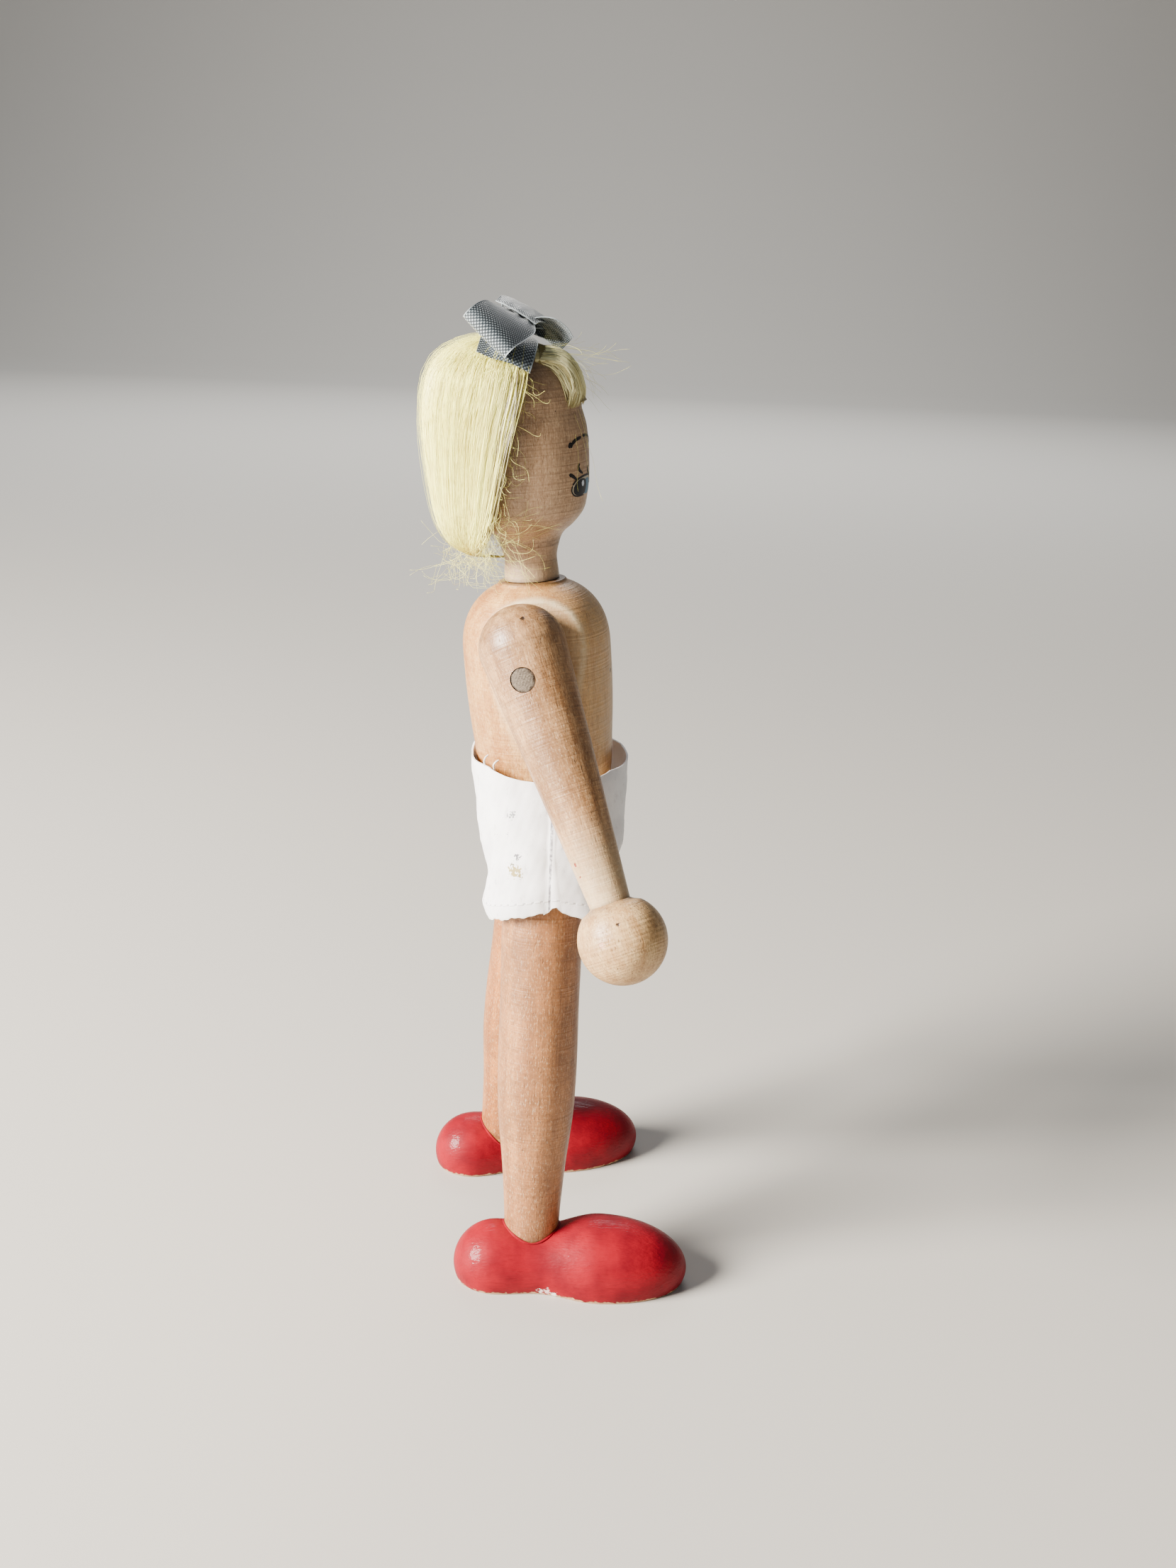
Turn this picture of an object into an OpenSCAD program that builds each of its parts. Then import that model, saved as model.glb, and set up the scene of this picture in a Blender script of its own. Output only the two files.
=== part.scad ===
// Turned wooden doll with pegged joints, a mohair wig, a ribbon bow, cotton shorts and painted shoes.
// It stands on the floor plane, faces -Y, and its own left hand is on +X.

/* [Stance] */
// Lean of the body back from upright, degrees
lean = 6; // [0:0.5:10]
// Head turned to its left, degrees
head_turn = 12; // [0:0.5:20]
// Right arm swung forward from straight down the body, degrees
right_arm_swing = 15.6; // [0:0.2:60]
// Left arm swung forward from straight down the body, degrees
left_arm_swing = 3; // [0:0.2:60]
// Left leg swung back from upright, degrees
left_leg_back = 4.6; // [0:0.2:8]
// Left shoe turned out, degrees
left_toe_out = 13.5; // [0:0.5:20]
// Right shoe turned out, degrees
right_toe_out = 1.5; // [0:0.5:20]

/* [Torso] */
// Largest radius of the barrel
torso_r = 15.4; // [14:0.1:18]
// Radius at the barrel's lower edge
torso_base_r = 13; // [11:0.1:14]
// Height from the hip pegs to the barrel's lower edge
torso_base_h = 9.6; // [9.2:0.1:12]
// Height from the hip pegs to the start of the shoulders
shoulder_start_h = 38.5; // [36:0.1:42]
// Height from the hip pegs to the seat of the neck
neck_seat_h = 52.8; // [50:0.1:58]
// Radius of the flat seat under the neck
neck_seat_r = 6.7; // [6.3:0.1:8]
// Half the thickness of the tongue between the legs
tongue_half = 5; // [4:0.1:6]
// Radius of the tongue's rounded lower end
tongue_r = 8.2; // [7:0.1:8.5]
// Distance of the hip pegs behind the barrel's axis
hip_set_back = 0.85; // [0:0.05:2]

/* [Shoulder] */
// Lean of the arm seats towards the neck, degrees
seat_tilt = 7; // [0:0.5:10]
// Distance from the middle plane to an arm seat, at its peg
seat_x = 12.6; // [11.5:0.1:13.5]
// Height from the hip pegs to the shoulder pegs
shoulder_h = 36.2; // [34:0.1:38]
// Distance of the shoulder pegs behind the barrel's axis
shoulder_set_back = 2.6; // [0:0.1:4]
// Diameter of the shoulder pegs
shoulder_peg_d = 5; // [4:0.1:6]
// Wood left between the inner ends of the two shoulder pegs
shoulder_peg_spacing = 3; // [1:0.1:6]

/* [Head] */
// Largest radius of the head
head_r = 13.3; // [12:0.05:15]
// Height of the head and neck, from the seam to the crown
head_h = 46.5; // [42:0.1:52]
// Radius of the neck
neck_r = 5.65; // [5:0.05:6.2]
// Diameter of the neck peg
neck_peg_d = 6; // [4:0.1:7]
// Length of the neck peg inside the head
neck_peg_up = 10; // [6:0.1:14]
// Length of the neck peg inside the torso
neck_peg_down = 11; // [6:0.1:11.5]

/* [Arms] */
// Radius of the arm's domed top
arm_r = 8.8; // [8:0.1:9.6]
// Radius of the arm at the wrist
wrist_r = 4.1; // [3.5:0.1:5]
// Length from the middle of the dome to the wrist
arm_l = 53.3; // [48:0.1:60]
// Splay of the arm away from its flat, degrees
arm_splay = 14; // [8:0.5:18]
// Distance from the arm's seat to the middle of the dome
dome_out = 5.6; // [4.5:0.1:7]
// Distance from the peg up to the middle of the dome
dome_up = 5; // [3:0.1:7]
// Distance from the peg forward to the arm's axis
dome_forward = 1.6; // [0:0.1:2.5]
// Radius of the hand ball
hand_r = 8.9; // [8:0.1:10.5]
// Radius of the hand's flat against the wrist
hand_seat_r = 4.9; // [4.2:0.1:6]
// Diameter of the arm's spigot in the hand
spigot_d = 5; // [4:0.1:6]
// Length of the arm's spigot in the hand
spigot_l = 7; // [5:0.1:9]

/* [Legs] */
// Radius of the thigh and of the domed hip
leg_r = 8.55; // [7.6:0.05:8.8]
// Radius of the leg where it enters the shoe
ankle_r = 5.8; // [5:0.1:6.4]
// Length from the hip peg to the ankle seam
leg_l = 86.6; // [78:0.1:96]
// Length of the leg's end inside the shoe
ankle_in = 6; // [4:0.1:7]
// Distance from the middle plane to the hip's middle
hip_x = 12.5; // [11.8:0.1:13.2]
// Splay of the leg outwards, degrees
leg_splay = 7; // [5:0.1:10]
// Diameter of the hip peg
hip_peg_d = 5; // [4:0.1:6]
// Wood left at the outer end of the hip peg
hip_peg_cover = 3; // [2:0.1:5]

/* [Shoes] */
// Height of the ankle seam above the floor
ankle_h = 10; // [9:0.1:12]
// Height of the shoe's turning axis above its sole
shoe_axis_h = 3.4; // [2:0.1:4.4]
// Radius of the heel's hump
heel_r = 8.7; // [8:0.1:10]
// Radius of the shoe's waist
shoe_waist_r = 8; // [7.4:0.1:9]
// Radius of the toe's hump
toe_r = 10.6; // [9.6:0.1:12]
// Length from the ankle back to the heel's end
heel_l = 16.6; // [14:0.1:20]
// Length from the ankle forward to the toe's end
toe_l = 34; // [30:0.1:38]
// Distance of the shoe's middle line outside the ankle
shoe_outset = 1.8; // [0:0.1:2.5]

/* [Wig] */
// Radius of the bob
bob_r = 15; // [14.6:0.1:18]
// Distance of the bob's middle behind the head's axis
bob_set_back = 4.5; // [3:0.1:6]
// Height of the bob's lower edge above the neck seam
bob_low_h = 4.9; // [4:0.1:8]
// Height of the hair above the crown
bob_over = 2; // [1.2:0.1:3]
// Slope of the hairline, degrees
hairline_slope = 20.6; // [10:0.1:30]
// Height above the neck seam at which the hairline crosses the head's axis
hairline_h = 36.7; // [34:0.1:39]
// Thickness of the fringe over the wood
fringe_t = 1.4; // [1:0.1:3]
// Width of the fringe
fringe_w = 18; // [14:0.1:20]
// Height of the fringe's lower end above the neck seam
fringe_low_h = 35; // [33:0.1:38]

/* [Bow] */
// Width of the ribbon
ribbon_w = 11; // [9:0.1:14]
// Thickness of the ribbon as modelled
ribbon_t = 0.6; // [0.4:0.05:0.8]
// Length of a loop, from the knot's middle
loop_l = 15; // [13:0.1:17]
// Open height of a loop
loop_open = 4.4; // [3:0.1:6]
// Radius of the knot
knot_r = 2.5; // [2:0.1:3.2]
// Length of the knot
knot_l = 5; // [4:0.1:7]
// Length of the ribbon's tail, from the knot's middle
tail_l = 11; // [8:0.1:13]

/* [Shorts] */
// Height of the waist edge above the hip pegs
waist_h = 15.8; // [14:0.1:17]
// Depth of the hem below the hip pegs
hem_drop = 14.2; // [12:0.1:20]
// Half width of the waist
waist_half = 17.4; // [16.6:0.1:19]
// Half width across both hems
hem_half = 24.9; // [24.6:0.1:28]
// Reach of the front, forward from the hip pegs
front_reach = 16.5; // [16:0.1:19]
// Reach of the back at the waist, behind the hip pegs
back_reach = 16; // [16:0.1:19]
// Reach of the back at the hem, behind the hip pegs
back_hem_reach = 11.6; // [11.4:0.1:16]
// Half the gap between the two legs of the shorts
crotch_half = 1.2; // [0.6:0.1:2]
// Depth of the crotch below the hip pegs
crotch_drop = 11.6; // [11:0.1:14]
// Thickness of the cloth with its turned seams
cloth_t = 0.7; // [0.5:0.05:0.8]
// Dip of the waist edge at the sides
waist_dip = 1.9; // [0:0.1:3]
// Depth of the cloth's soft folds
fold_d = 0.35; // [0:0.05:0.5]

/* [Fits] */
// Gap between flats that turn on each other
joint_gap = 0.25; // [0.15:0.05:0.5]
// Radial gap of a peg that turns in its bore
peg_gap = 0.05; // [0.02:0.01:0.1]
// Gap between the neck and its seat
neck_gap = 0.2; // [0.1:0.05:0.4]
// Gap between a soft piece and what it lies on
soft_gap = 0.1; // [0.05:0.05:0.3]

/* [Hidden] */
$fn = 72;
right = -1;
left = 1;
front = -1;
back = 1;

// Larger than any piece, for cuts that must run past it
reach = 2 * (torso_r + head_h + arm_l);
// Run of a bore past its mouth
past = torso_r / 10;

// The hip pegs' height follows from the upright right leg and its shoe
hip_z = ankle_h + leg_l * cos(leg_splay);
// The hip pegs' depth puts the doll's toe and the back of its hair at equal distances
hair_mid_share = 0.57;
hair_mid_h = neck_seat_h + head_h * hair_mid_share;
hair_reach = bob_set_back * cos(head_turn) + bob_r - hip_set_back;
hair_behind_hip = hair_mid_h * sin(lean) + hair_reach * cos(lean);
hip_y = (toe_l - hair_behind_hip) / 2;

// Heights and radii of the barrel below the shoulders, from its lower edge up, as shares
barrel_h_shares = [0, 0.04, 0.1, 0.22, 0.36, 0.55, 0.76, 0.9, 1];
barrel_r_shares = [0, 0.3, 0.44, 0.58, 0.7, 0.875, 0.98, 1, 1];
// Squareness of the shoulders' curve
shoulder_power = 2.35;
shoulder_steps = 16;
// The shoulders' curve would close this much above the neck seat
shoulder_over_share = 1.03;

// Heights and radii of the neck and chin, as shares of the head's height and radius
chin_h_shares = [0.15, 0.2, 0.24, 0.28, 0.31, 0.345, 0.38, 0.42, 0.47, 0.53, 0.6, 0.66, 0.73];
chin_r_shares = [0.45, 0.53, 0.7, 0.83, 0.89, 0.925, 0.95, 0.972, 0.99, 1, 1, 0.985, 0.93];
dome_steps = 14;

// Heights and radii of the bob between its lower edge and its top, as shares
bob_h_shares = [0, 0.012, 0.04, 0.1, 0.19, 0.3, 0.42, 0.52, 0.62, 0.71, 0.79, 0.86, 0.92, 0.965, 0.99, 1];
bob_r_shares = [0, 0.25, 0.57, 0.81, 0.925, 0.97, 0.99, 1, 1, 0.98, 0.94, 0.875, 0.76, 0.57, 0.33, 0];

// Distances and radii down the leg, as shares of its length and of its two radii
leg_l_shares = [0, 0.2, 0.32, 0.42, 0.52, 0.6, 0.68, 0.75, 0.82, 0.91, 1];
leg_r_shares = [1, 1, 0.96, 0.935, 0.965, 0.94, 0.84, 0.62, 0.38, 0.16, 0];

function arc(r, from, to, steps) =
    [for (i = [0:steps]) let (a = from + (to - from) * i / steps) [r * cos(a), r * sin(a)]];
function mix(a, b, t) = a + (b - a) * t;
function unit(v) = v / norm(v);

// The leaning frame of the body: its origin is on the barrel's axis beside the hip pegs
module in_body() {
    translate([0, hip_y, hip_z])
        rotate([-lean, 0, 0])
            translate([0, -hip_set_back, 0])
                children();
}

// The head's frame: the neck seam's middle, turned with the face
module in_head() {
    in_body()
        translate([0, 0, neck_seat_h])
            rotate([0, 0, head_turn])
                children();
}

module on_side(side) {
    mirror([side < 0 ? 1 : 0, 0, 0])
        children();
}

// A shoulder's frame: its origin is where the peg leaves the seat, and +X runs out along the peg
module at_shoulder(side) {
    in_body()
        on_side(side)
            translate([seat_x, shoulder_set_back, shoulder_h])
                rotate([0, -seat_tilt, 0])
                    children();
}

module at_arm(side, swing) {
    at_shoulder(side)
        rotate([-swing, 0, 0])
            children();
}

module at_arm_axis() {
    translate([dome_out, -dome_forward, dome_up])
        rotate([0, -arm_splay, 0])
            children();
}

module at_leg(side, swing_back) {
    on_side(side)
        translate([hip_x, hip_y, hip_z])
            rotate([swing_back, 0, 0])
                rotate([0, -leg_splay, 0])
                    children();
}

// Torso

module torso_form() {
    barrel_h = shoulder_start_h - torso_base_h;
    shoulder_span = (neck_seat_h - shoulder_start_h) * shoulder_over_share;
    barrel = [for (i = [0:len(barrel_h_shares) - 1])
        [mix(torso_base_r, torso_r, barrel_r_shares[i]), torso_base_h + barrel_h * barrel_h_shares[i]]];
    shoulder = [for (i = [1:shoulder_steps])
        let (t = i / shoulder_steps * (1 / shoulder_over_share))
            [max(neck_seat_r, torso_r * pow(1 - pow(t, shoulder_power), 1 / shoulder_power)),
                shoulder_start_h + shoulder_span * t]];
    rotate_extrude()
        polygon(concat([[0, torso_base_h]], barrel, shoulder, [[0, neck_seat_h]]));
}

module tongue() {
    translate([-tongue_half, hip_set_back, 0])
        rotate([90, 0, 90])
            linear_extrude(2 * tongue_half)
                union() {
                    circle(tongue_r);
                    translate([-tongue_r, 0])
                        square([2 * tongue_r, torso_base_h + past]);
                }
}

module seat_cut(side) {
    on_side(side)
        translate([seat_x, shoulder_set_back, shoulder_h])
            rotate([0, -seat_tilt, 0])
                translate([0, -reach / 2, -reach / 2])
                    cube(reach);
}

module shoulder_bore(side) {
    on_side(side)
        translate([seat_x, shoulder_set_back, shoulder_h])
            rotate([0, -seat_tilt, 0])
                translate([-seat_x, 0, 0])
                    rotate([0, 90, 0])
                        cylinder(h = seat_x + past, r = shoulder_peg_d / 2 + peg_gap);
}

module torso() {
    color("burlywood")
        in_body()
            difference() {
                union() {
                    torso_form();
                    tongue();
                }
                seat_cut(right);
                seat_cut(left);
                shoulder_bore(right);
                shoulder_bore(left);
                translate([0, 0, neck_seat_h - neck_peg_down - neck_gap])
                    cylinder(h = neck_peg_down + neck_gap + past, r = neck_peg_d / 2 + peg_gap);
                translate([-reach / 2, hip_set_back, 0])
                    rotate([0, 90, 0])
                        cylinder(h = reach, r = hip_peg_d / 2);
            }
}

hip_peg_l = 2 * (hip_x + leg_r - hip_peg_cover);

module hip_peg() {
    color("tan")
        translate([-hip_peg_l / 2, hip_y, hip_z])
            rotate([0, 90, 0])
                cylinder(h = hip_peg_l, r = hip_peg_d / 2);
}

// Head

// The dome that closes the head starts here
head_dome_h = head_h * chin_h_shares[len(chin_h_shares) - 1];
head_dome_r = head_r * chin_r_shares[len(chin_r_shares) - 1];

// The neck is slightly narrower halfway up
neck_waist_share = 0.96;
neck_waist_h_share = 0.1;

function head_points(grow) = concat(
    [[0, neck_gap], [neck_r + grow, neck_gap],
        [neck_r * neck_waist_share + grow, head_h * neck_waist_h_share]],
    [for (i = [0:len(chin_h_shares) - 1]) [head_r * chin_r_shares[i] + grow, head_h * chin_h_shares[i]]],
    [for (p = arc(1, 0, 90, dome_steps)) if (p[1] > 0)
        [(head_dome_r + grow) * p[0], head_dome_h + (head_h - head_dome_h + grow) * p[1]]]
);

module head_form(grow) {
    rotate_extrude()
        polygon(head_points(grow));
}

module head() {
    color("burlywood")
        in_head()
            difference() {
                head_form(0);
                translate([0, 0, -past])
                    cylinder(h = neck_peg_up + past, r = neck_peg_d / 2);
            }
}

module neck_peg() {
    color("tan")
        in_head()
            translate([0, 0, -neck_peg_down])
                cylinder(h = neck_peg_up + neck_peg_down, r = neck_peg_d / 2);
}

// Wig

module bob_form(grow) {
    span = head_h + bob_over + grow - bob_low_h;
    translate([0, bob_set_back, 0])
        rotate_extrude()
            polygon([for (i = [0:len(bob_h_shares) - 1])
                [bob_r_shares[i] * (bob_r + grow), bob_low_h + span * bob_h_shares[i]]]);
}

module hair_bob() {
    color("khaki")
        in_head()
            difference() {
                bob_form(0);
                head_form(0);
                translate([-reach / 2, 0, hairline_h])
                    rotate([hairline_slope, 0, 0])
                        translate([0, -reach, -reach / 2])
                            cube(reach);
            }
}

module hair_fringe() {
    color("khaki")
        in_head()
            difference() {
                intersection() {
                    head_form(fringe_t);
                    translate([-fringe_w / 2, -reach, fringe_low_h])
                        cube([fringe_w, reach, reach]);
                    translate([-reach / 2, -soft_gap / cos(hairline_slope), hairline_h])
                        rotate([hairline_slope, 0, 0])
                            translate([0, -reach, -reach / 2])
                                cube(reach);
                }
                head_form(0);
            }
}

// Bow

knot_h = head_h + bob_over + knot_r + 2 * soft_gap;
// Turn of the right loop back and of the left loop forward, degrees
right_back = 23;
left_forward = 26;
// Tilt of the ribbon, its back edge up, degrees
bow_pitch = 34;
// Droop of the loops from level, degrees
right_droop = 30;
left_droop = 0;
// Droop of the tail from level, degrees
tail_droop = 14;
// Distance of the knot in front of the head's axis
knot_set_forward = 0.1;

module at_knot() {
    in_head()
        translate([0, -knot_set_forward, knot_h])
            children();
}

// What the ribbon lies on, with its gap
module under_bow() {
    in_head() {
        bob_form(soft_gap);
        head_form(fringe_t + soft_gap);
    }
}

// A loop of ribbon in profile, running out along +X from the knot
module loop_outline(inset) {
    hull() {
        translate([knot_l / 2 + inset, -ribbon_t + inset])
            square([ribbon_t, 2 * ribbon_t - 2 * inset + soft_gap]);
        translate([loop_l - loop_open / 2, 0])
            circle(loop_open / 2 - inset, $fn = 32);
    }
}

module ribbon_loop() {
    rotate([90, 0, 0])
        translate([0, 0, -ribbon_w / 2])
            linear_extrude(ribbon_w)
                difference() {
                    loop_outline(0);
                    loop_outline(ribbon_t);
                }
}

// The space of a whole loop, with its gap
module loop_room() {
    rotate([90, 0, 0])
        translate([0, 0, -ribbon_w / 2 - soft_gap])
            linear_extrude(ribbon_w + 2 * soft_gap)
                loop_outline(-soft_gap);
}

module at_loop(side, turn, droop) {
    at_knot()
        rotate([0, 0, -turn])
            on_side(side)
                rotate([0, droop, 0])
                    rotate([bow_pitch, 0, 0])
                        children();
}

module knot_form(grow) {
    at_knot()
        translate([-knot_l / 2 - grow, 0, 0])
            rotate([0, 90, 0])
                cylinder(h = knot_l + 2 * grow, r = knot_r + grow);
}

module bow_loop(side, turn, droop) {
    color("lightslategray")
        difference() {
            at_loop(side, turn, droop)
                ribbon_loop();
            under_bow();
            knot_form(soft_gap);
        }
}

module bow_knot() {
    color("lightslategray")
        knot_form(0);
}

module bow_tail() {
    color("lightslategray")
        difference() {
            at_knot()
                rotate([tail_droop, 0, 0])
                    translate([-ribbon_w / 4, -tail_l, -ribbon_t / 2])
                        cube([ribbon_w / 2, tail_l - knot_r, ribbon_t]);
            under_bow();
            at_loop(left, left_forward, left_droop)
                loop_room();
        }
}

// Arms

function arm_points() = concat(
    [for (p = arc(arm_r, 90, 0, dome_steps)) p],
    [[wrist_r, -arm_l], [spigot_d / 2, -arm_l], [spigot_d / 2, -arm_l - spigot_l], [0, -arm_l - spigot_l]]
);

module arm_solid() {
    difference() {
        at_arm_axis()
            rotate_extrude()
                polygon(arm_points());
        translate([joint_gap - reach, -reach / 2, -reach / 2])
            cube(reach);
    }
}

module peg_rod(r) {
    translate([-seat_x + shoulder_peg_spacing / 2, 0, 0])
        rotate([0, 90, 0])
            cylinder(h = reach / 2, r = r);
}

module arm(side, swing) {
    color("burlywood")
        at_arm(side, swing)
            difference() {
                arm_solid();
                peg_rod(shoulder_peg_d / 2);
            }
}

// The peg is glued in the arm, trimmed flush with it, and turns in the torso
module shoulder_peg(side, swing) {
    color("tan")
        at_arm(side, swing)
            intersection() {
                peg_rod(shoulder_peg_d / 2);
                union() {
                    arm_solid();
                    translate([-reach + joint_gap, -reach / 2, -reach / 2])
                        cube(reach);
                }
            }
}

hand_drop = arm_l + sqrt(hand_r * hand_r - hand_seat_r * hand_seat_r);

module hand(side, swing) {
    color("wheat")
        at_arm(side, swing)
            at_arm_axis()
                difference() {
                    translate([0, 0, -hand_drop])
                        sphere(hand_r);
                    translate([-reach / 2, -reach / 2, -arm_l])
                        cube(reach);
                    translate([0, 0, -arm_l - spigot_l])
                        cylinder(h = spigot_l + past, r = spigot_d / 2);
                }
}

// Legs and shoes

function leg_points() = concat(
    [for (p = arc(leg_r, 90, 0, dome_steps)) p],
    [for (i = [1:len(leg_l_shares) - 1])
        [mix(ankle_r, leg_r, leg_r_shares[i]), -leg_l * leg_l_shares[i]]],
    [[ankle_r, -leg_l - ankle_in], [0, -leg_l - ankle_in]]
);

module leg_form(side, swing_back) {
    at_leg(side, swing_back)
        rotate_extrude()
            polygon(leg_points());
}

module leg(side, swing_back) {
    color("burlywood")
        difference() {
            leg_form(side, swing_back);
            on_side(side)
                translate([tongue_half + joint_gap - reach, -reach / 2, 0])
                    cube(reach);
            translate([-hip_peg_l / 2 - joint_gap, hip_y, hip_z])
                rotate([0, 90, 0])
                    cylinder(h = hip_peg_l + 2 * joint_gap, r = hip_peg_d / 2 + peg_gap);
        }
}

// Places along the shoe from the heel's end, as shares of its length
heel_hump_share = 0.18;
shoe_waist_share = 0.36;
toe_hump_share = 0.62;
shoe_steps = 10;

function shoe_radius(u) =
    u < heel_hump_share ? heel_r * sqrt(max(0, 1 - pow((heel_hump_share - u) / heel_hump_share, 2)))
    : u < shoe_waist_share ? mix(heel_r, shoe_waist_r,
        (1 - cos(180 * (u - heel_hump_share) / (shoe_waist_share - heel_hump_share))) / 2)
    : u < toe_hump_share ? mix(shoe_waist_r, toe_r,
        (1 - cos(180 * (u - shoe_waist_share) / (toe_hump_share - shoe_waist_share))) / 2)
    : toe_r * sqrt(max(0, 1 - pow((u - toe_hump_share) / (1 - toe_hump_share), 2)));

function shoe_stations() = concat(
    [for (i = [0:shoe_steps - 1]) heel_hump_share * (1 - cos(90 * i / shoe_steps))],
    [for (i = [0:2 * shoe_steps]) mix(heel_hump_share, toe_hump_share, i / (2 * shoe_steps))],
    [for (i = [1:shoe_steps]) toe_hump_share + (1 - toe_hump_share) * sin(90 * i / shoe_steps)]
);

module shoe_form() {
    shoe_l = heel_l + toe_l;
    difference() {
        translate([shoe_outset, 0, shoe_axis_h])
            rotate([90, 0, 0])
                rotate_extrude()
                    polygon(concat(
                        [for (u = shoe_stations()) [shoe_radius(u), shoe_l * u - heel_l]]
                    ));
        translate([-reach / 2, -reach / 2, -reach])
            cube(reach);
    }
}

module shoe(side, swing_back, toe_out) {
    ankle_side = hip_x + leg_l * sin(leg_splay);
    ankle_back = leg_l * cos(leg_splay) * sin(swing_back);
    color("crimson")
        difference() {
            on_side(side)
                translate([ankle_side, hip_y + ankle_back, 0])
                    rotate([0, 0, toe_out])
                        shoe_form();
            leg_form(side, swing_back);
        }
}

// Shorts: each panel is a sheet from its side seam round to the middle seam or the inner leg.
// Its lining stops at the seams' planes, where the next panel starts.

shorts_rows = 10;
shorts_cols = 14;
// Squareness of the shorts in plan
shorts_power = 2.5;
// Bend of the side seam between hem and waist
side_bend = 1.6;
// Height of the crotch seam's end on the front and back, above the crotch, as a share of the shorts' height
crotch_rise_share = 0.36;
// Number of soft folds in a panel, fading out towards the waist
fold_count = 3;
fold_start_share = 0.1;
fold_rate = 1.2;
// How the back fills out and the inner edge climbs with height, and how the waist edge dips
fill_power = 0.8;
dip_power = 4;
shorts_h = waist_h + hem_drop;
crotch_v = (hem_drop - crotch_drop) / shorts_h;

function half_width(v) = hem_half - (hem_half - waist_half) * pow(v, side_bend);
function panel_reach(face, v) = face < 0 ? front_reach : mix(back_hem_reach, back_reach, pow(v, fill_power));
function squared_arc(a) =
    [pow(abs(cos(a)), 2 / shorts_power) * sign(cos(a)), pow(abs(sin(a)), 2 / shorts_power)];
function soft_fold(j, v) =
    fold_d * sin(360 * fold_count * j / shorts_cols) * sin(180 * min(1, v * fold_rate + fold_start_share));

// Above the crotch the inner edge climbs from the inner leg seam to the middle seam of the face
function panel_point(face, i, j) =
    let (
        v = i / shorts_rows,
        w = half_width(v),
        d = panel_reach(face, v) + soft_fold(j, v),
        leg_mid = (w + crotch_half) / 2,
        t = min(1, max(0, (v - crotch_v) / crotch_rise_share)),
        share = j / shorts_cols,
        ring = squared_arc(180 * share),
        ring_w = (w - crotch_half) / 2,
        dip = waist_dip * pow(v, dip_power) * (1 - pow(min(1, 2 * share), 2)),
        z = -hem_drop + shorts_h * v - dip,
        on_ring = [leg_mid + ring_w * ring[0], face * d * ring[1], z],
        wide = squared_arc(90 * share),
        on_whole = [w * wide[0], face * d * wide[1], z]
    ) mix(on_ring, on_whole, pow(t, fill_power));

module shorts_panel(side, face) {
    rows = shorts_rows;
    cols = shorts_cols;
    across = cols + 1;
    outer = [for (i = [0:rows]) for (j = [0:cols]) panel_point(face, i, j)];
    outward = [for (i = [0:rows]) for (j = [0:cols])
        let (
            du = panel_point(face, i, min(cols, j + 1)) - panel_point(face, i, max(0, j - 1)),
            dv = panel_point(face, min(rows, i + 1), j) - panel_point(face, max(0, i - 1), j)
        ) unit(cross(du, dv)) * -face];
    inner = [for (k = [0:len(outer) - 1])
        let (p = outer[k] - outward[k] * cloth_t)
            [max(0, p[0]), face * max(0, face * p[1]), p[2]]];
    half = across * (rows + 1);
    quads = [for (i = [0:rows - 1]) for (j = [0:cols - 1]) [
        i * across + j, i * across + j + 1, (i + 1) * across + j + 1, (i + 1) * across + j]];
    skin = [for (q = quads) for (f = [[q[0], q[1], q[2]], [q[0], q[2], q[3]]]) f];
    lining = [for (f = skin) [f[2] + half, f[1] + half, f[0] + half]];
    rim = concat(
        [for (j = [0:cols - 1]) [j + 1, j]],
        [for (j = [0:cols - 1]) [rows * across + j, rows * across + j + 1]],
        [for (i = [0:rows - 1]) [i * across, (i + 1) * across]],
        [for (i = [0:rows - 1]) [(i + 1) * across + cols, i * across + cols]]
    );
    edge = [for (e = rim) for (f = [[e[0], e[1], e[1] + half], [e[0], e[1] + half, e[0] + half]]) f];
    color("whitesmoke")
        translate([0, hip_y, hip_z])
            on_side(side)
                polyhedron(
                    points = concat(outer, inner),
                    faces = [for (f = concat(skin, lining, edge)) face < 0 ? f : [f[2], f[1], f[0]]]
                );
}

torso();
hip_peg();
neck_peg();
head();
hair_bob();
hair_fringe();
bow_loop(right, right_back, right_droop);  // bow_loop_right
bow_loop(left, left_forward, left_droop);  // bow_loop_left
bow_knot();
bow_tail();
arm(right, right_arm_swing);  // arm_right
arm(left, left_arm_swing);  // arm_left
shoulder_peg(right, right_arm_swing);  // shoulder_peg_right
shoulder_peg(left, left_arm_swing);  // shoulder_peg_left
hand(right, right_arm_swing);  // hand_right
hand(left, left_arm_swing);  // hand_left
leg(right, 0);  // leg_right
leg(left, left_leg_back);  // leg_left
shoe(right, 0, right_toe_out);  // shoe_right
shoe(left, left_leg_back, left_toe_out);  // shoe_left
shorts_panel(right, front);  // shorts_front_right
shorts_panel(left, front);  // shorts_front_left
shorts_panel(right, back);  // shorts_back_right
shorts_panel(left, back);  // shorts_back_left
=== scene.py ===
"""Peg wooden doll: turned birch limbs on pegs, mohair wig, ribbon bow, cotton shorts and red enamel shoes."""

import math

import bmesh
import bpy
import numpy as np
from mathutils import Matrix, Vector


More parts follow.
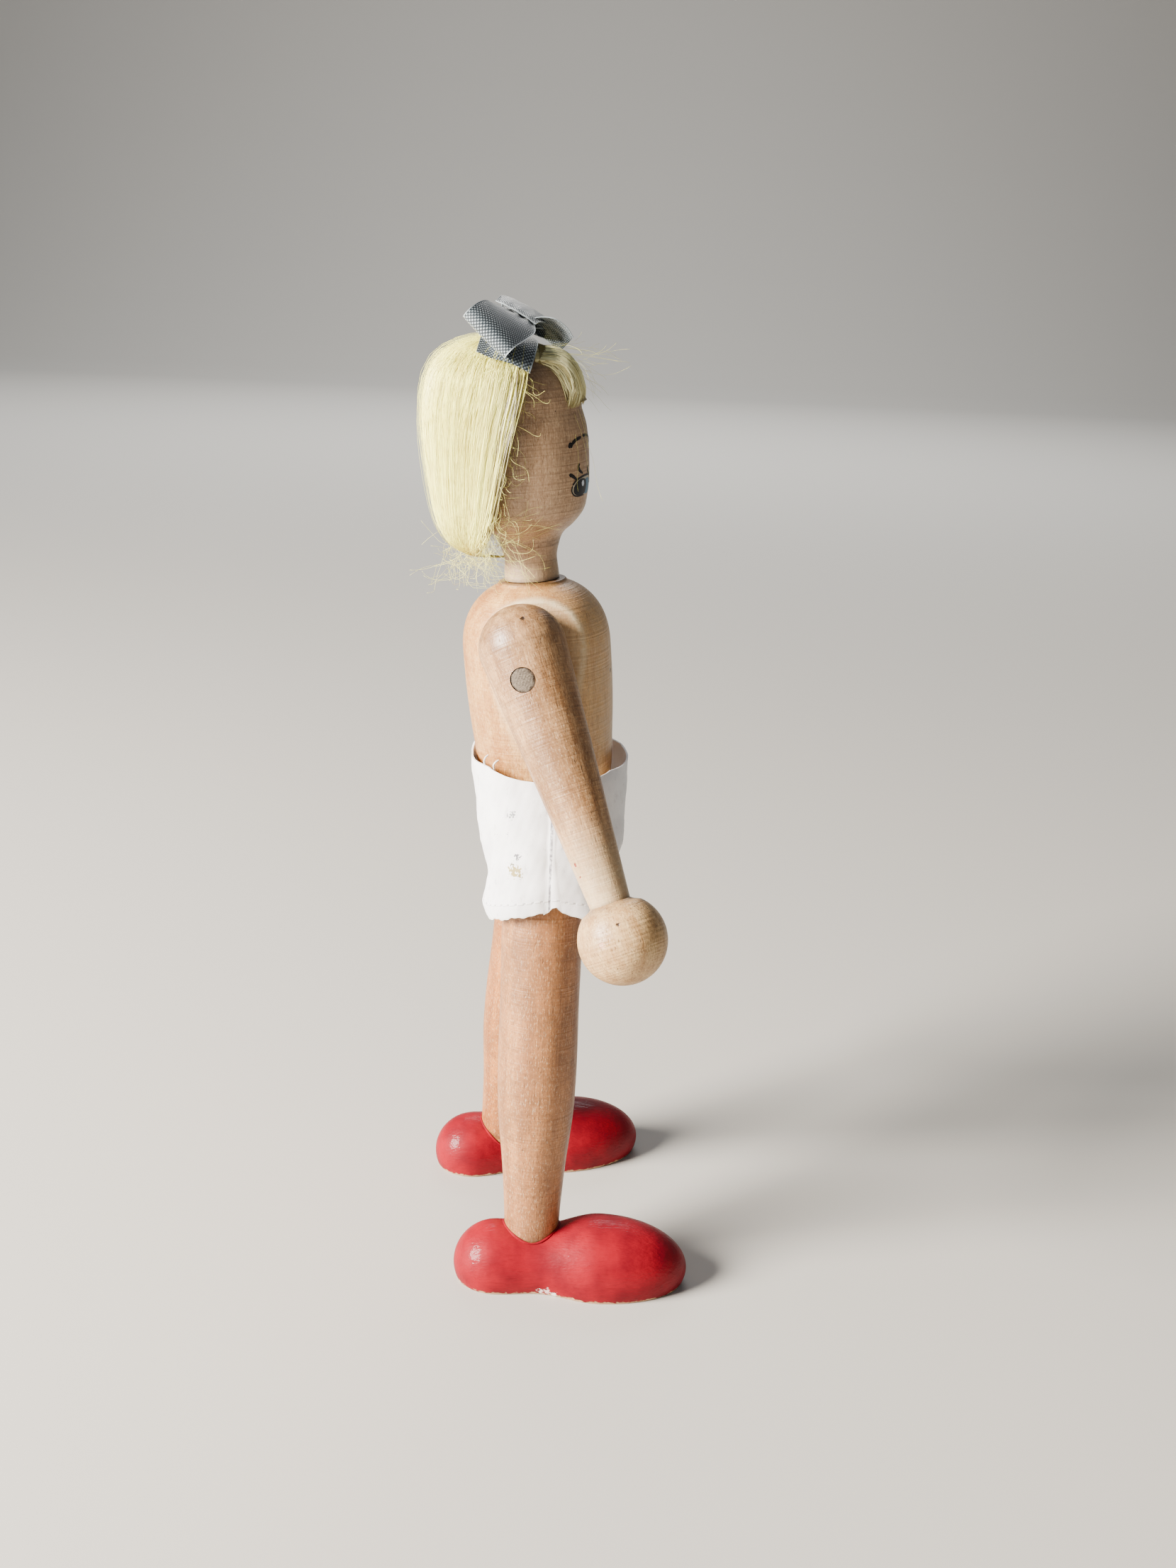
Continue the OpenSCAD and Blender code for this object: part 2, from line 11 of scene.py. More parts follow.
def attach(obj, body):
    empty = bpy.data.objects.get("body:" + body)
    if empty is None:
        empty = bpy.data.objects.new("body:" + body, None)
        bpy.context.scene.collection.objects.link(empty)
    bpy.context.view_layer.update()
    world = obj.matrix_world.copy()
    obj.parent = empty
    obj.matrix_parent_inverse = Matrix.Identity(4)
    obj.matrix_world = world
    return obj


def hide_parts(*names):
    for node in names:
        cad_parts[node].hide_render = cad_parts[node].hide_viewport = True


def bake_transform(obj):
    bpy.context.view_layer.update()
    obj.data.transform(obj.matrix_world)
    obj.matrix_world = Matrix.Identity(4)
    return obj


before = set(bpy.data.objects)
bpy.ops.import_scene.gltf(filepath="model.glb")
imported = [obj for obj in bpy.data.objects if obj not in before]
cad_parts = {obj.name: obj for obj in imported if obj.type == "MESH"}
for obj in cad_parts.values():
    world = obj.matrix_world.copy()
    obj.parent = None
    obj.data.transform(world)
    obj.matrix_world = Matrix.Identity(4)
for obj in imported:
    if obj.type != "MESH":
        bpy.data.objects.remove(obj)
bpy.ops.object.select_all(action="DESELECT")
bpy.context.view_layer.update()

MM = 0.001

# The doll's sizes, in millimetres and degrees, as in the part's source
LEAN = 6.0
HEAD_TURN = 12.0
RIGHT_ARM_SWING = 15.6
LEFT_ARM_SWING = 3.0
LEFT_LEG_BACK = 4.6
LEFT_TOE_OUT = 13.5
RIGHT_TOE_OUT = 1.5
TORSO_R, TORSO_BASE_R, TORSO_BASE_H = 15.4, 13.0, 9.6
SHOULDER_START_H, NECK_SEAT_H, NECK_SEAT_R = 38.5, 52.8, 6.7
TONGUE_HALF, TONGUE_R, HIP_SET_BACK = 5.0, 8.2, 0.85
SEAT_TILT, SEAT_X, SHOULDER_H, SHOULDER_SET_BACK = 7.0, 12.6, 36.2, 2.6
PEG_R = 2.5
HEAD_R, HEAD_H, NECK_R = 13.3, 46.5, 5.65
ARM_R, WRIST_R, ARM_L, ARM_SPLAY = 8.8, 4.1, 53.3, 14.0
DOME_OUT, DOME_UP, DOME_FORWARD = 5.6, 5.0, 1.6
HAND_R, HAND_SEAT_R = 8.9, 4.9
LEG_R, ANKLE_R, LEG_L, ANKLE_IN, HIP_X, LEG_SPLAY = 8.55, 5.8, 86.6, 6.0, 12.5, 7.0
ANKLE_H, SHOE_AXIS_H, HEEL_R, SHOE_WAIST_R, TOE_R = 10.0, 3.4, 8.7, 8.0, 10.6
HEEL_L, TOE_L, SHOE_OUTSET = 16.6, 34.0, 1.8
HEEL_SHARE, WAIST_SHARE, TOE_SHARE = 0.18, 0.36, 0.62
BOB_R, BOB_SET_BACK, BOB_LOW_H, BOB_OVER = 15.0, 4.5, 4.9, 2.0
HAIRLINE_SLOPE, HAIRLINE_H = 20.6, 36.7
FRINGE_T, FRINGE_W = 1.4, 18.0
RIBBON_W, KNOT_R = 11.0, 2.5
RIGHT_BACK, LEFT_FORWARD, BOW_PITCH = 23.0, 26.0, 34.0
RIGHT_DROOP, TAIL_DROOP = 30.0, 14.0
WAIST_H, HEM_DROP, WAIST_HALF, HEM_HALF = 15.8, 14.2, 17.4, 24.9
FRONT_REACH, BACK_REACH, BACK_HEM_REACH = 16.5, 16.0, 11.6
CROTCH_HALF, CROTCH_DROP, WAIST_DIP, FOLD_D = 1.2, 11.6, 1.9, 0.35
GAP = 0.25

# Sizes that only this dressed model has
SEAM_H = 0.2
WIG_MIDDLE, WIG_HALF_H, FRINGE_MIDDLE = (0, BOB_SET_BACK, 28.0), 21.7, (0, 0, 34.0)
COMBED_STATIONS, FRINGE_STATIONS, STRAY_STATIONS, STRAY_R = 15, 12, 18, 0.02
SEAM_IN, STITCH_UP, STITCH_L = 1.2, 3.1, 1.7
PAINT_SWELL = 0.012

# Where the photograph was taken from, in metres and degrees, and its lens as the picture's heights give it
CAMERA_PLACE = (-0.3354, 0.0066, 0.207)
CAMERA_DOWN, CAMERA_ROLL, CAMERA_YAW = 16.95, 2.6, 2.0
FOCAL_PIXELS, PHOTO_H_PIXELS, SENSOR_LONG = 2309, 2212, 36

HIP_Z = ANKLE_H + LEG_L * math.cos(math.radians(LEG_SPLAY))
DOME_R, DOME_H, DOME_RISE = HEAD_R * 0.93, HEAD_H * 0.73, HEAD_H * 0.27
HAIR_MID_H = NECK_SEAT_H + HEAD_H * 0.57
HAIR_REACH = BOB_SET_BACK * math.cos(math.radians(HEAD_TURN)) + BOB_R - HIP_SET_BACK
HAIR_BEHIND_HIP = HAIR_MID_H * math.sin(math.radians(LEAN)) + HAIR_REACH * math.cos(math.radians(LEAN))
HIP_Y = (TOE_L - HAIR_BEHIND_HIP) / 2


def turned_by(angle, axis):
    return Matrix.Rotation(math.radians(angle), 4, axis)


def moved_by(x, y, z):
    return Matrix.Translation((x, y, z))


def side_of(side):
    """The doll's left is 1 and its right is -1, which mirrors."""
    return Matrix.Diagonal((side, 1, 1, 1))


BODY = moved_by(0, HIP_Y, HIP_Z) @ turned_by(-LEAN, "X") @ moved_by(0, -HIP_SET_BACK, 0)
HEAD = BODY @ moved_by(0, 0, NECK_SEAT_H) @ turned_by(HEAD_TURN, "Z")
HIPS = moved_by(0, HIP_Y, HIP_Z)


def shoulder_place(side):
    return BODY @ side_of(side) @ moved_by(SEAT_X, SHOULDER_SET_BACK, SHOULDER_H) @ turned_by(-SEAT_TILT, "Y")


def arm_place(side, swing):
    at_peg = shoulder_place(side) @ turned_by(-swing, "X")
    return at_peg @ moved_by(DOME_OUT, -DOME_FORWARD, DOME_UP) @ turned_by(-ARM_SPLAY, "Y")


def leg_place(side, back):
    return side_of(side) @ moved_by(HIP_X, HIP_Y, HIP_Z) @ turned_by(back, "X") @ turned_by(-LEG_SPLAY, "Y")


def shoe_place(side, back, toe_out):
    ankle_x = HIP_X + LEG_L * math.sin(math.radians(LEG_SPLAY))
    ankle_y = HIP_Y + LEG_L * math.cos(math.radians(LEG_SPLAY)) * math.sin(math.radians(back))
    at_ankle = side_of(side) @ moved_by(ankle_x, ankle_y, 0) @ turned_by(toe_out, "Z")
    return at_ankle @ moved_by(SHOE_OUTSET, 0, SHOE_AXIS_H) @ turned_by(90, "X")


# Camera, floor and light


def new_object(name, data):
    thing = bpy.data.objects.new(name, data)
    bpy.context.scene.collection.objects.link(thing)
    return thing


def make_camera():
    """Stands where the photograph was taken from: level with the bow, looking down at the doll's right."""
    down, roll, yaw = (math.radians(angle) for angle in (CAMERA_DOWN, CAMERA_ROLL, CAMERA_YAW))
    forward = Vector((math.cos(yaw) * math.cos(down), -math.sin(yaw) * math.cos(down), -math.sin(down)))
    level_right = Vector((-math.sin(yaw), -math.cos(yaw), 0))
    level_up = level_right.cross(forward)
    right = math.cos(roll) * level_right + math.sin(roll) * level_up
    up = math.cos(roll) * level_up - math.sin(roll) * level_right
    data = bpy.data.cameras.new("camera")
    data.sensor_width = SENSOR_LONG
    data.lens = FOCAL_PIXELS / PHOTO_H_PIXELS * SENSOR_LONG
    data.clip_start = 0.01
    camera = new_object("camera", data)
    turn = Matrix((right, up, -forward)).transposed().to_4x4()
    camera.matrix_world = Matrix.Translation(CAMERA_PLACE) @ turn
    bpy.context.scene.camera = camera


def make_light(name, place, aim, size, power, colour):
    data = bpy.data.lights.new(name, "AREA")
    data.shape = "DISK"
    data.size = size
    data.energy = power
    data.color = colour
    lamp = new_object(name, data)
    lamp.location = place
    lamp.rotation_euler = (Vector(aim) - Vector(place)).to_track_quat("-Z", "Y").to_euler()


def light_room():
    """A low warm window behind the doll's left, a little cool light from the room, and a backdrop lamp."""
    chest = (0, 0, 0.1)
    make_light("window_left", (-0.38, 0.86, 0.5), chest, 0.5, 84.0, (1.0, 0.95, 0.87))
    make_light("room_camera_side", (-0.9, 0.1, 0.5), chest, 0.9, 0.3, (0.88, 0.94, 1.0))
    make_light("backdrop", (1.9, 0, 1.5), (2.4, 0, 0), 1.6, 60.0, (0.95, 0.98, 1.0))
    world = bpy.data.worlds.new("room")
    world.use_nodes = True
    air = world.node_tree.nodes["Background"].inputs
    air["Color"].default_value = (0.84, 0.91, 1.0, 1)
    air["Strength"].default_value = 0.17
    bpy.context.scene.world = world


def linear(code):
    """An sRGB hex colour as linear red, green, blue and alpha."""
    channels = [int(code[i : i + 2], 16) / 255 for i in (1, 3, 5)]
    return tuple(c / 12.92 if c <= 0.04045 else ((c + 0.055) / 1.055) ** 2.4 for c in channels) + (1.0,)


def add(tree, kind, *inputs, out="", **settings):
    """Adds a node with its settings. Its inputs, in order, are values, hex colours or sockets to link."""
    node = tree.nodes.new("ShaderNode" + kind)
    for name, value in settings.items():
        setattr(node, name, value)
    for socket, value in zip([s for s in node.inputs if s.enabled], inputs):
        if isinstance(value, bpy.types.NodeSocket):
            tree.links.new(value, socket)
        elif value is not None:
            socket.default_value = linear(value) if isinstance(value, str) else value
    return next((s for s in node.outputs if s.enabled and out in ("", s.name)), node)


def new_material(name, rough=0.5, gloss=0.5, coat=0.0, coat_rough=0.03):
    material = bpy.data.materials.new(name)
    material.use_nodes = True
    tree = material.node_tree
    shader = tree.nodes["Principled BSDF"]
    shader.inputs["Roughness"].default_value = rough
    shader.inputs["Specular IOR Level"].default_value = gloss
    shader.inputs["Coat Weight"].default_value = coat
    shader.inputs["Coat Roughness"].default_value = coat_rough
    return material, tree, shader.inputs


def pale_paper():
    """Matt pale paper: no gloss, only the doll's soft shadow."""
    material, tree, shader = new_material("pale_paper", 0.85, 0.3)
    shader["Base Color"].default_value = linear("#b3aea7")
    return material


def make_floor():
    """A sheet of studio paper, flat under the doll and rising in a wide curve far behind it, in metres."""
    width, step, steps, wall = 6, 0.2, 10, 1.5
    bpy.ops.mesh.primitive_plane_add(size=width)
    floor = bpy.context.active_object
    floor.name = "floor"
    bpy.ops.object.mode_set(mode="EDIT")
    bpy.ops.mesh.select_all(action="DESELECT")
    bpy.ops.object.mode_set(mode="OBJECT")
    for edge in floor.data.edges:
        edge.select = all(floor.data.vertices[v].co.x > width * 0.48 for v in edge.vertices)
    bpy.ops.object.mode_set(mode="EDIT")
    bpy.ops.mesh.select_mode(type="EDGE")
    rises = [math.radians(90 * (i + 0.5) / steps) for i in range(steps)]
    for move in [(step * math.cos(rise), 0, step * math.sin(rise)) for rise in rises] + [(0, 0, wall)]:
        bpy.ops.mesh.extrude_region_move(TRANSFORM_OT_translate={"value": move})
    bpy.ops.object.mode_set(mode="OBJECT")
    floor.data.materials.append(pale_paper())
    smooth(floor)


# Shaping


def flowing(points, steps=8):
    """Fills a smooth line between the given points, through each of them."""
    points = [np.array(p, float) for p in points]
    ends = [2 * points[0] - points[1]] + points + [2 * points[-1] - points[-2]]
    line = []
    for a, b, c, d in zip(ends, ends[1:], ends[2:], ends[3:]):
        square, cube = 2 * a - 5 * b + 4 * c - d, 3 * b - a - 3 * c + d
        for i in range(steps):
            t = i / steps
            line.append(tuple(0.5 * (2 * b + (c - a) * t + square * t**2 + cube * t**3)))
    line.append(tuple(points[-1]))
    return line


def arc(radius, start, end, steps=24, centre=(0, 0)):
    angles = [math.radians(start + (end - start) * i / steps) for i in range(steps + 1)]
    return [(centre[0] + radius * math.cos(a), centre[1] + radius * math.sin(a)) for a in angles]


def even(points, gap):
    """The same line with its points about a gap apart."""
    line = [tuple(points[0])]
    for a, b in zip(points, points[1:]):
        count = max(1, int(math.dist(a, b) / gap + 0.5))
        line += [tuple(a[k] + (b[k] - a[k]) * i / count for k in range(len(a))) for i in range(1, count + 1)]
    return line


def unit(vectors):
    return vectors / np.maximum(np.linalg.norm(vectors, axis=-1, keepdims=True), 1e-9)


def run_along(line):
    """How far along a line each of its points is."""
    return np.concatenate([[0], np.cumsum(np.linalg.norm(np.diff(line, axis=0), axis=1))])


def ramp(values, start, length):
    """Rises from 0 at the start to 1 over this length."""
    return np.clip((values - start) / length, 0, 1)


def near(values, centre, width):
    """1 at the centre, falling away softly within about this width."""
    return np.exp(-(((values - centre) / width) ** 2))


def last_inside(low, high, inside):
    """The last value from low towards high that is still inside, found by halving."""
    for _ in range(30):
        middle = (low + high) / 2
        low, high = (middle, high) if inside(middle) else (low, middle)
    return low


def between(lower, upper, count, ring=False):
    """Faces between two rows of points that start at these numbers, each row open or closed to a ring."""
    ends = [(j, (j + 1) % count) for j in range(count if ring else count - 1)]
    return [(lower + j, lower + k, upper + k, upper + j) for j, k in ends]


def grid_faces(rows, count, ring=False):
    """Faces between all neighbouring rows of points."""
    return [face for i in range(rows - 1) for face in between(i * count, (i + 1) * count, count, ring)]


def new_piece(name, points, faces, place=None):
    """A mesh in millimetres, put in place and turned to metres."""
    mesh = bpy.data.meshes.new(name)
    mesh.from_pydata([tuple(p) for p in points], [], faces)
    piece = new_object(name, mesh)
    settle(piece, place)
    return piece


def settle(piece, place=None):
    whole = Matrix.Scale(MM, 4) @ (place or Matrix.Identity(4))
    piece.data.transform(whole)
    if whole.determinant() < 0:
        piece.data.flip_normals()
    piece.data.update()


def hold(piece, *others):
    """Selects these pieces and nothing else, with the first one active."""
    bpy.ops.object.select_all(action="DESELECT")
    for one in (piece, *others):
        one.select_set(True)
    bpy.context.view_layer.objects.active = piece


def tidy_shell(piece, gap=0.000001):
    """Merges doubled points and turns every face outwards."""
    hold(piece)
    bpy.ops.object.mode_set(mode="EDIT")
    bpy.ops.mesh.select_all(action="SELECT")
    bpy.ops.mesh.remove_doubles(threshold=gap)
    bpy.ops.mesh.normals_make_consistent(inside=False)
    bpy.ops.object.mode_set(mode="OBJECT")
    piece.select_set(False)


def apply_modifier(piece, modifier):
    hold(piece)
    bpy.ops.object.modifier_apply(modifier=modifier.name)
    piece.select_set(False)


def join(piece, *others):
    hold(piece, *others)
    bpy.ops.object.join()
    piece.select_set(False)


def smooth(piece, angle=40):
    hold(piece)
    bpy.ops.object.shade_smooth_by_angle(angle=math.radians(angle))
    piece.select_set(False)


def turned(name, outline, place, steps=144):
    """Spins an outline of (radius, height) round its own upright, as on a lathe, and puts it in place."""
    mesh = bpy.data.meshes.new(name)
    mesh.from_pydata([(r, 0, h) for r, h in outline], [(i, i + 1) for i in range(len(outline) - 1)], [])
    piece = new_object(name, mesh)
    hold(piece)
    bpy.ops.object.mode_set(mode="EDIT")
    bpy.ops.mesh.select_all(action="SELECT")
    bpy.ops.mesh.spin(steps=steps, angle=2 * math.pi, center=(0, 0, 0), axis=(0, 0, 1))
    bpy.ops.object.mode_set(mode="OBJECT")
    tidy_shell(piece, 0.0005)
    settle(piece, place)
    return piece


def points_of(piece):
    points = np.zeros(len(piece.data.vertices) * 3)
    piece.data.vertices.foreach_get("co", points)
    return points.reshape(-1, 3) / MM


def set_points(piece, points):
    piece.data.vertices.foreach_set("co", (points * MM).ravel())
    piece.data.update()


def carried(points, place):
    return np.array([place @ Vector(p) for p in points])


def in_frame(piece, place):
    """The piece's points in the frame of this place, in millimetres."""
    return carried(points_of(piece), place.inverted())


def at_place(place, spots):
    """Moves spots of (place, radius, colour) from a piece's own frame to the doll's."""
    return [(place @ Vector(spot), radius, code) for spot, radius, code in spots]


def planed(piece, place, point, normal, soft=0.3):
    """Planes flat what stands past a plane of that frame, its edge rounded, and gives how far it was."""
    on = np.array(place @ Vector(point))
    out = np.array((place.to_3x3() @ Vector(normal)).normalized())
    points = points_of(piece)
    past = (points - on) @ out
    kept = np.where(past > -soft, -soft * np.exp(-np.clip(past + soft, 0, None) / soft), past)
    set_points(piece, points + (kept - past)[:, None] * out)
    return past


def drill(place, radius):
    """A round bit along the peg, long enough to pass the arm."""
    start, end = 3, 30
    outline = [(0, start), (radius, start), (radius, end), (0, end)]
    return turned("bit", outline, place @ turned_by(90, "Y"), 64)


def cut(piece, bit):
    """Cuts the bit's shape out of the piece."""
    bore = piece.modifiers.new("bore", "BOOLEAN")
    bore.object = bit
    bore.operation = "DIFFERENCE"
    bore.solver = "EXACT"
    apply_modifier(piece, bore)
    bpy.data.objects.remove(bit)


def mark(piece, name, values):
    """Keeps a value for each point, which a material reads by name."""
    attribute = piece.data.attributes.new(name, "FLOAT", "POINT")
    attribute.data.foreach_set("value", np.clip(values, 0, 1).astype(np.float32))


def tint(piece, name, values):
    """Keeps a colour for each point, which a material reads by name."""
    attribute = piece.data.attributes.new(name, "FLOAT_COLOR", "POINT")
    attribute.data.foreach_set("color", np.array(values, np.float32).ravel())


def finished(piece, material, slot, body, *nodes, angle=40):
    smooth(piece, angle)
    piece.data.materials.clear()
    piece.data.materials.append(material)
    if body:
        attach(piece, body)
    if nodes:
        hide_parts(*nodes)


# Wood


def along(tree, place):
    """Millimetres in the frame of the piece that stands at this place, with Z along its grain."""
    where = add(tree, "TexCoord", out="Object")
    axis = (place.to_3x3() @ Vector((0, 0, 1))).normalized()
    turn = axis.rotation_difference(Vector((0, 0, 1))).to_matrix()
    start = turn @ place.translation
    return add(tree, "Mapping", where, tuple(-start), turn.to_euler("XYZ"), (1 / MM,) * 3)


def in_mm(tree):
    """Millimetres in the doll's own frame."""
    return add(tree, "Mapping", add(tree, "TexCoord", out="Object"), None, None, (1 / MM,) * 3)


def uneven(tree, where, size, detail=3.0, roughness=0.55):
    """Soft unevenness whose features have this size in millimetres, the same each way or in x, y and z."""
    sizes = size if isinstance(size, tuple) else (size,) * 3
    shrunk = add(tree, "VectorMath", where, tuple(1 / n for n in sizes), operation="MULTIPLY")
    return add(tree, "TexNoise", shrunk, 1.0, detail, roughness)


def spots_on(tree, colour, spots, edge=0.5):
    """Paints ragged spots of (place, radius, colour) and gives the new colour and where the spots are."""
    here = in_mm(tree)
    ragged = uneven(tree, here, 0.5, 2.0)
    covered = None
    for place, radius, code in spots:
        away = add(tree, "VectorMath", here, tuple(place), operation="DISTANCE")
        wobble = add(tree, "MapRange", ragged, 0.3, 0.7, -edge * radius, edge * radius)
        away = add(tree, "Math", away, wobble, operation="ADD")
        patch = add(tree, "MapRange", away, radius, radius * 0.75, 0.0, 1.0)
        colour = add(tree, "Mix", patch, colour, code, data_type="RGBA")
        covered = patch if covered is None else add(tree, "Math", covered, patch, operation="MAXIMUM")
    return colour, covered


def layered(tree, colour, *layers):
    """Lays colours over one another, each where its pattern goes from low to high, up to its most."""
    for pattern, low, high, most, code in layers:
        amount = add(tree, "MapRange", pattern, low, high, 0.0, most)
        colour = add(tree, "Mix", amount, colour, code, data_type="RGBA")
    return colour


def old_birch(name, tones, place, spots=(), rings=0.5, flecks=0.5, streak_w=2.6):
    """Turned birch, waxed by years of hands: honey brown with long pale streaks, fine tool rings round the
    lathe's axis, short dark pores, a few pin specks, bare cream at rubbed edges and as painted highlight,
    and brown where grime sits and as painted shade."""
    pale, warm, shade = tones
    rough = 0.4
    material, tree, shader = new_material(name, rough, 0.45, 0.1, 0.3)
    grain = along(tree, place)
    fibre = uneven(tree, grain, (0.35, 0.35, 9.0), 4.0, 0.6)
    streaks = uneven(tree, grain, (streak_w, streak_w, 60.0), 3.0, 0.5)
    patina = uneven(tree, grain, (9.0, 9.0, 14.0), 3.0, 0.6)
    blotch = uneven(tree, grain, (1.8, 1.8, 1.5), 4.0, 0.65)
    fine = uneven(tree, grain, (0.3, 0.3, 0.8), 3.0, 0.7)
    tool = add(tree, "TexNoise", add(tree, "SeparateXYZ", grain, out="Z"), 1.9, 3.0, noise_dimensions="1D")
    pores = uneven(tree, grain, (0.22, 0.22, 1.3), 1.0, 0.5)
    cells = add(tree, "TexVoronoi", grain, 0.3, out="Distance").node
    chosen = add(tree, "MapRange", add(tree, "SeparateColor", cells.outputs["Color"]), 0.78, 0.8)
    specks = add(tree, "MapRange", cells.outputs["Distance"], 0.06, 0.03, 0.0, 0.8)
    colour = layered(
        tree,
        pale,
        (streaks, 0.36, 0.66, 1.0, warm),
        (patina, 0.42, 0.68, 0.75, shade),
        (blotch, 0.5, 0.74, 0.6, shade),
        (blotch, 0.44, 0.28, 0.4, pale),
        (fibre, 0.5, 0.75, 0.75, shade),
        (fine, 0.54, 0.7, 0.65, "#6b4a2e"),
        (fine, 0.46, 0.27, 0.35, "#ecd6b0"),
        (tool, 0.52, 0.72, rings, shade),
        (pores, 0.66, 0.74, flecks, "#4a2f1c"),
        (add(tree, "Math", specks, chosen, operation="MULTIPLY"), 0.0, 1.0, 1.0, "#33200f"),
    )
    patchy = add(tree, "MapRange", blotch, 0.3, 0.62, 0.5, 1.0)
    # Pale cream where a piece marks rubbed edges and painted highlight, dark brown where it marks grime and
    # painted shade.
    for kept_as, code in (("wear_and_highlight", "#dcc59d"), ("dirt_and_shade", "#3d2817")):
        amount = add(tree, "Attribute", attribute_name=kept_as, out="Fac")
        amount = add(tree, "Math", amount, patchy, operation="MULTIPLY")
        colour = add(tree, "Mix", amount, colour, code, data_type="RGBA")
    colour, dents = spots_on(tree, colour, spots)
    tree.links.new(colour, shader["Base Color"])
    tree.links.new(add(tree, "MapRange", fibre, 0.35, 0.7, rough - 0.06, rough + 0.14), shader["Roughness"])
    relief = add(tree, "Math", tool, add(tree, "Math", fibre, 0.6, operation="MULTIPLY"), operation="ADD")
    open_pores = add(tree, "MapRange", pores, 0.66, 0.74, 0.0, 0.5)
    relief = add(tree, "Math", relief, open_pores, operation="SUBTRACT")
    if dents:
        relief = add(tree, "Math", relief, dents, operation="SUBTRACT")
    tree.links.new(add(tree, "Bump", 0.6, 0.00017, 1.0, relief), shader["Normal"])
    return material


def end_grain():
    """The sawn end of a birch dowel, grey with old glue and grime: rough, its short fibres on end."""
    material, tree, shader = new_material("birch_end_grain", 0.75, 0.3)
    grain = along(tree, shoulder_place(-1) @ turned_by(90, "Y"))
    rough = uneven(tree, grain, 0.35, 4.0, 0.7)
    across = uneven(tree, grain, (0.3, 1.8, 1.0), 3.0, 0.6)
    edge = add(tree, "Attribute", attribute_name="edge", out="Fac")
    colour = layered(
        tree,
        "#463c32",
        (rough, 0.35, 0.65, 1.0, "#6f6253"),
        (across, 0.5, 0.65, 0.8, "#4d4238"),
        (edge, 0.0, 1.0, 1.0, "#2c2119"),
    )
    tree.links.new(colour, shader["Base Color"])
    tree.links.new(add(tree, "Bump", 0.8, 0.0002, 1.0, rough), shader["Normal"])
    return material


def torso_outline():
    """The barrel from its base to its widest, then a full round shoulder that ends at the neck's seat."""
    height_shares = [0, 0.04, 0.1, 0.22, 0.36, 0.55, 0.76, 0.9, 1]
    radius_shares = [0, 0.3, 0.44, 0.58, 0.7, 0.875, 0.98, 1, 1]
    widening, span = TORSO_R - TORSO_BASE_R, SHOULDER_START_H - TORSO_BASE_H
    shares = zip(height_shares, radius_shares)
    line = flowing([(TORSO_BASE_R + widening * r, TORSO_BASE_H + span * h) for h, r in shares], 6)
    rise, fullness, over, steps = NECK_SEAT_H - SHOULDER_START_H, 2.35, 1.03, 60
    for i in range(1, steps + 1):
        t = i / steps / over
        line.append((TORSO_R * (1 - t**fullness) ** (1 / fullness), SHOULDER_START_H + rise * over * t))
    edge_r = 0.5
    line = [p for p in line if p[0] > NECK_SEAT_R and p[1] < NECK_SEAT_H - 0.4 * edge_r]
    line += arc(edge_r, 40, 90, 4, (NECK_SEAT_R - 0.1, NECK_SEAT_H - edge_r))
    return [(0, TORSO_BASE_H)] + even(line, 0.6) + [(0, NECK_SEAT_H)]


def make_torso():
    torso = turned("torso_barrel", torso_outline(), BODY, 200)
    local = in_frame(torso, BODY)
    front, height = -local[:, 1], local[:, 2]
    wear_and_highlight = np.zeros(len(local))
    for side in (1, -1):
        past = planed(torso, shoulder_place(side), (0, 0, 0), (1, 0, 0), 0.35)
        wear_and_highlight = np.maximum(wear_and_highlight, np.maximum(near(past, -0.1, 0.75), 0.5 * (past > 0)))
    on_chest = ramp(front, 3, 9) * ramp(height, 12, 8)
    # The pale rim round each arm seat is rubbed bare wood, made paler towards its top as a painted highlight.
    mark(torso, "wear_and_highlight", np.maximum(wear_and_highlight * (0.35 + 0.65 * ramp(height, 26, 10)), 0.42 * on_chest))
    mark(torso, "dirt_and_shade", 0.8 * near(height, NECK_SEAT_H, 0.35))
    dot = at_place(BODY, [((-4.0, -TORSO_R + 0.4, 33.5), 0.45, "#2a1a10")])
    tones = ("#d09f60", "#b37d42", "#945b2c")
    material = old_birch("birch_torso", tones, BODY, dot, rings=0.25, flecks=0.4)
    join(torso, new_tongue())
    finished(torso, material, "wood", "torso", "torso")


def new_tongue():
    """The tongue between the legs: a disc on its edge whose upper half is drawn up into the barrel."""
    into_barrel = 1.5
    bpy.ops.mesh.primitive_cylinder_add(vertices=64, radius=TONGUE_R, depth=2 * TONGUE_HALF)
    tongue = bpy.context.active_object
    tongue.data.transform(turned_by(90, "Y"))
    for vertex in tongue.data.vertices:
        if vertex.co.z > 0.1:
            vertex.co.z = TORSO_BASE_H + into_barrel
    settle(tongue, BODY @ moved_by(0, HIP_SET_BACK, 0))
    tongue.select_set(False)
    return tongue


def head_outline():
    """The neck, the chin and cheeks, and the round top of the skull."""
    height_shares = [0.15, 0.2, 0.24, 0.28, 0.31, 0.345, 0.38, 0.42, 0.47, 0.53, 0.6, 0.66, 0.73]
    radius_shares = [0.45, 0.53, 0.7, 0.83, 0.89, 0.925, 0.95, 0.972, 0.99, 1, 1, 0.985, 0.93]
    neck = [(NECK_R, SEAM_H), (NECK_R * 0.98, 2.2), (NECK_R * 0.96, HEAD_H * 0.1)]
    line = flowing(neck + [(HEAD_R * r, HEAD_H * h) for r, h in zip(radius_shares, height_shares)], 6)
    dome = [(DOME_R * x, DOME_H + DOME_RISE * y) for x, y in arc(1, 0, 90, 40)]
    return [(0, SEAM_H)] + even(line + dome[1:], 0.5)


HEAD_LINE = [p for p in head_outline() if p[0] > 0 or p[1] > 1]


def head_radius(h):
    return float(np.interp(h, [p[1] for p in HEAD_LINE], [p[0] for p in HEAD_LINE]))


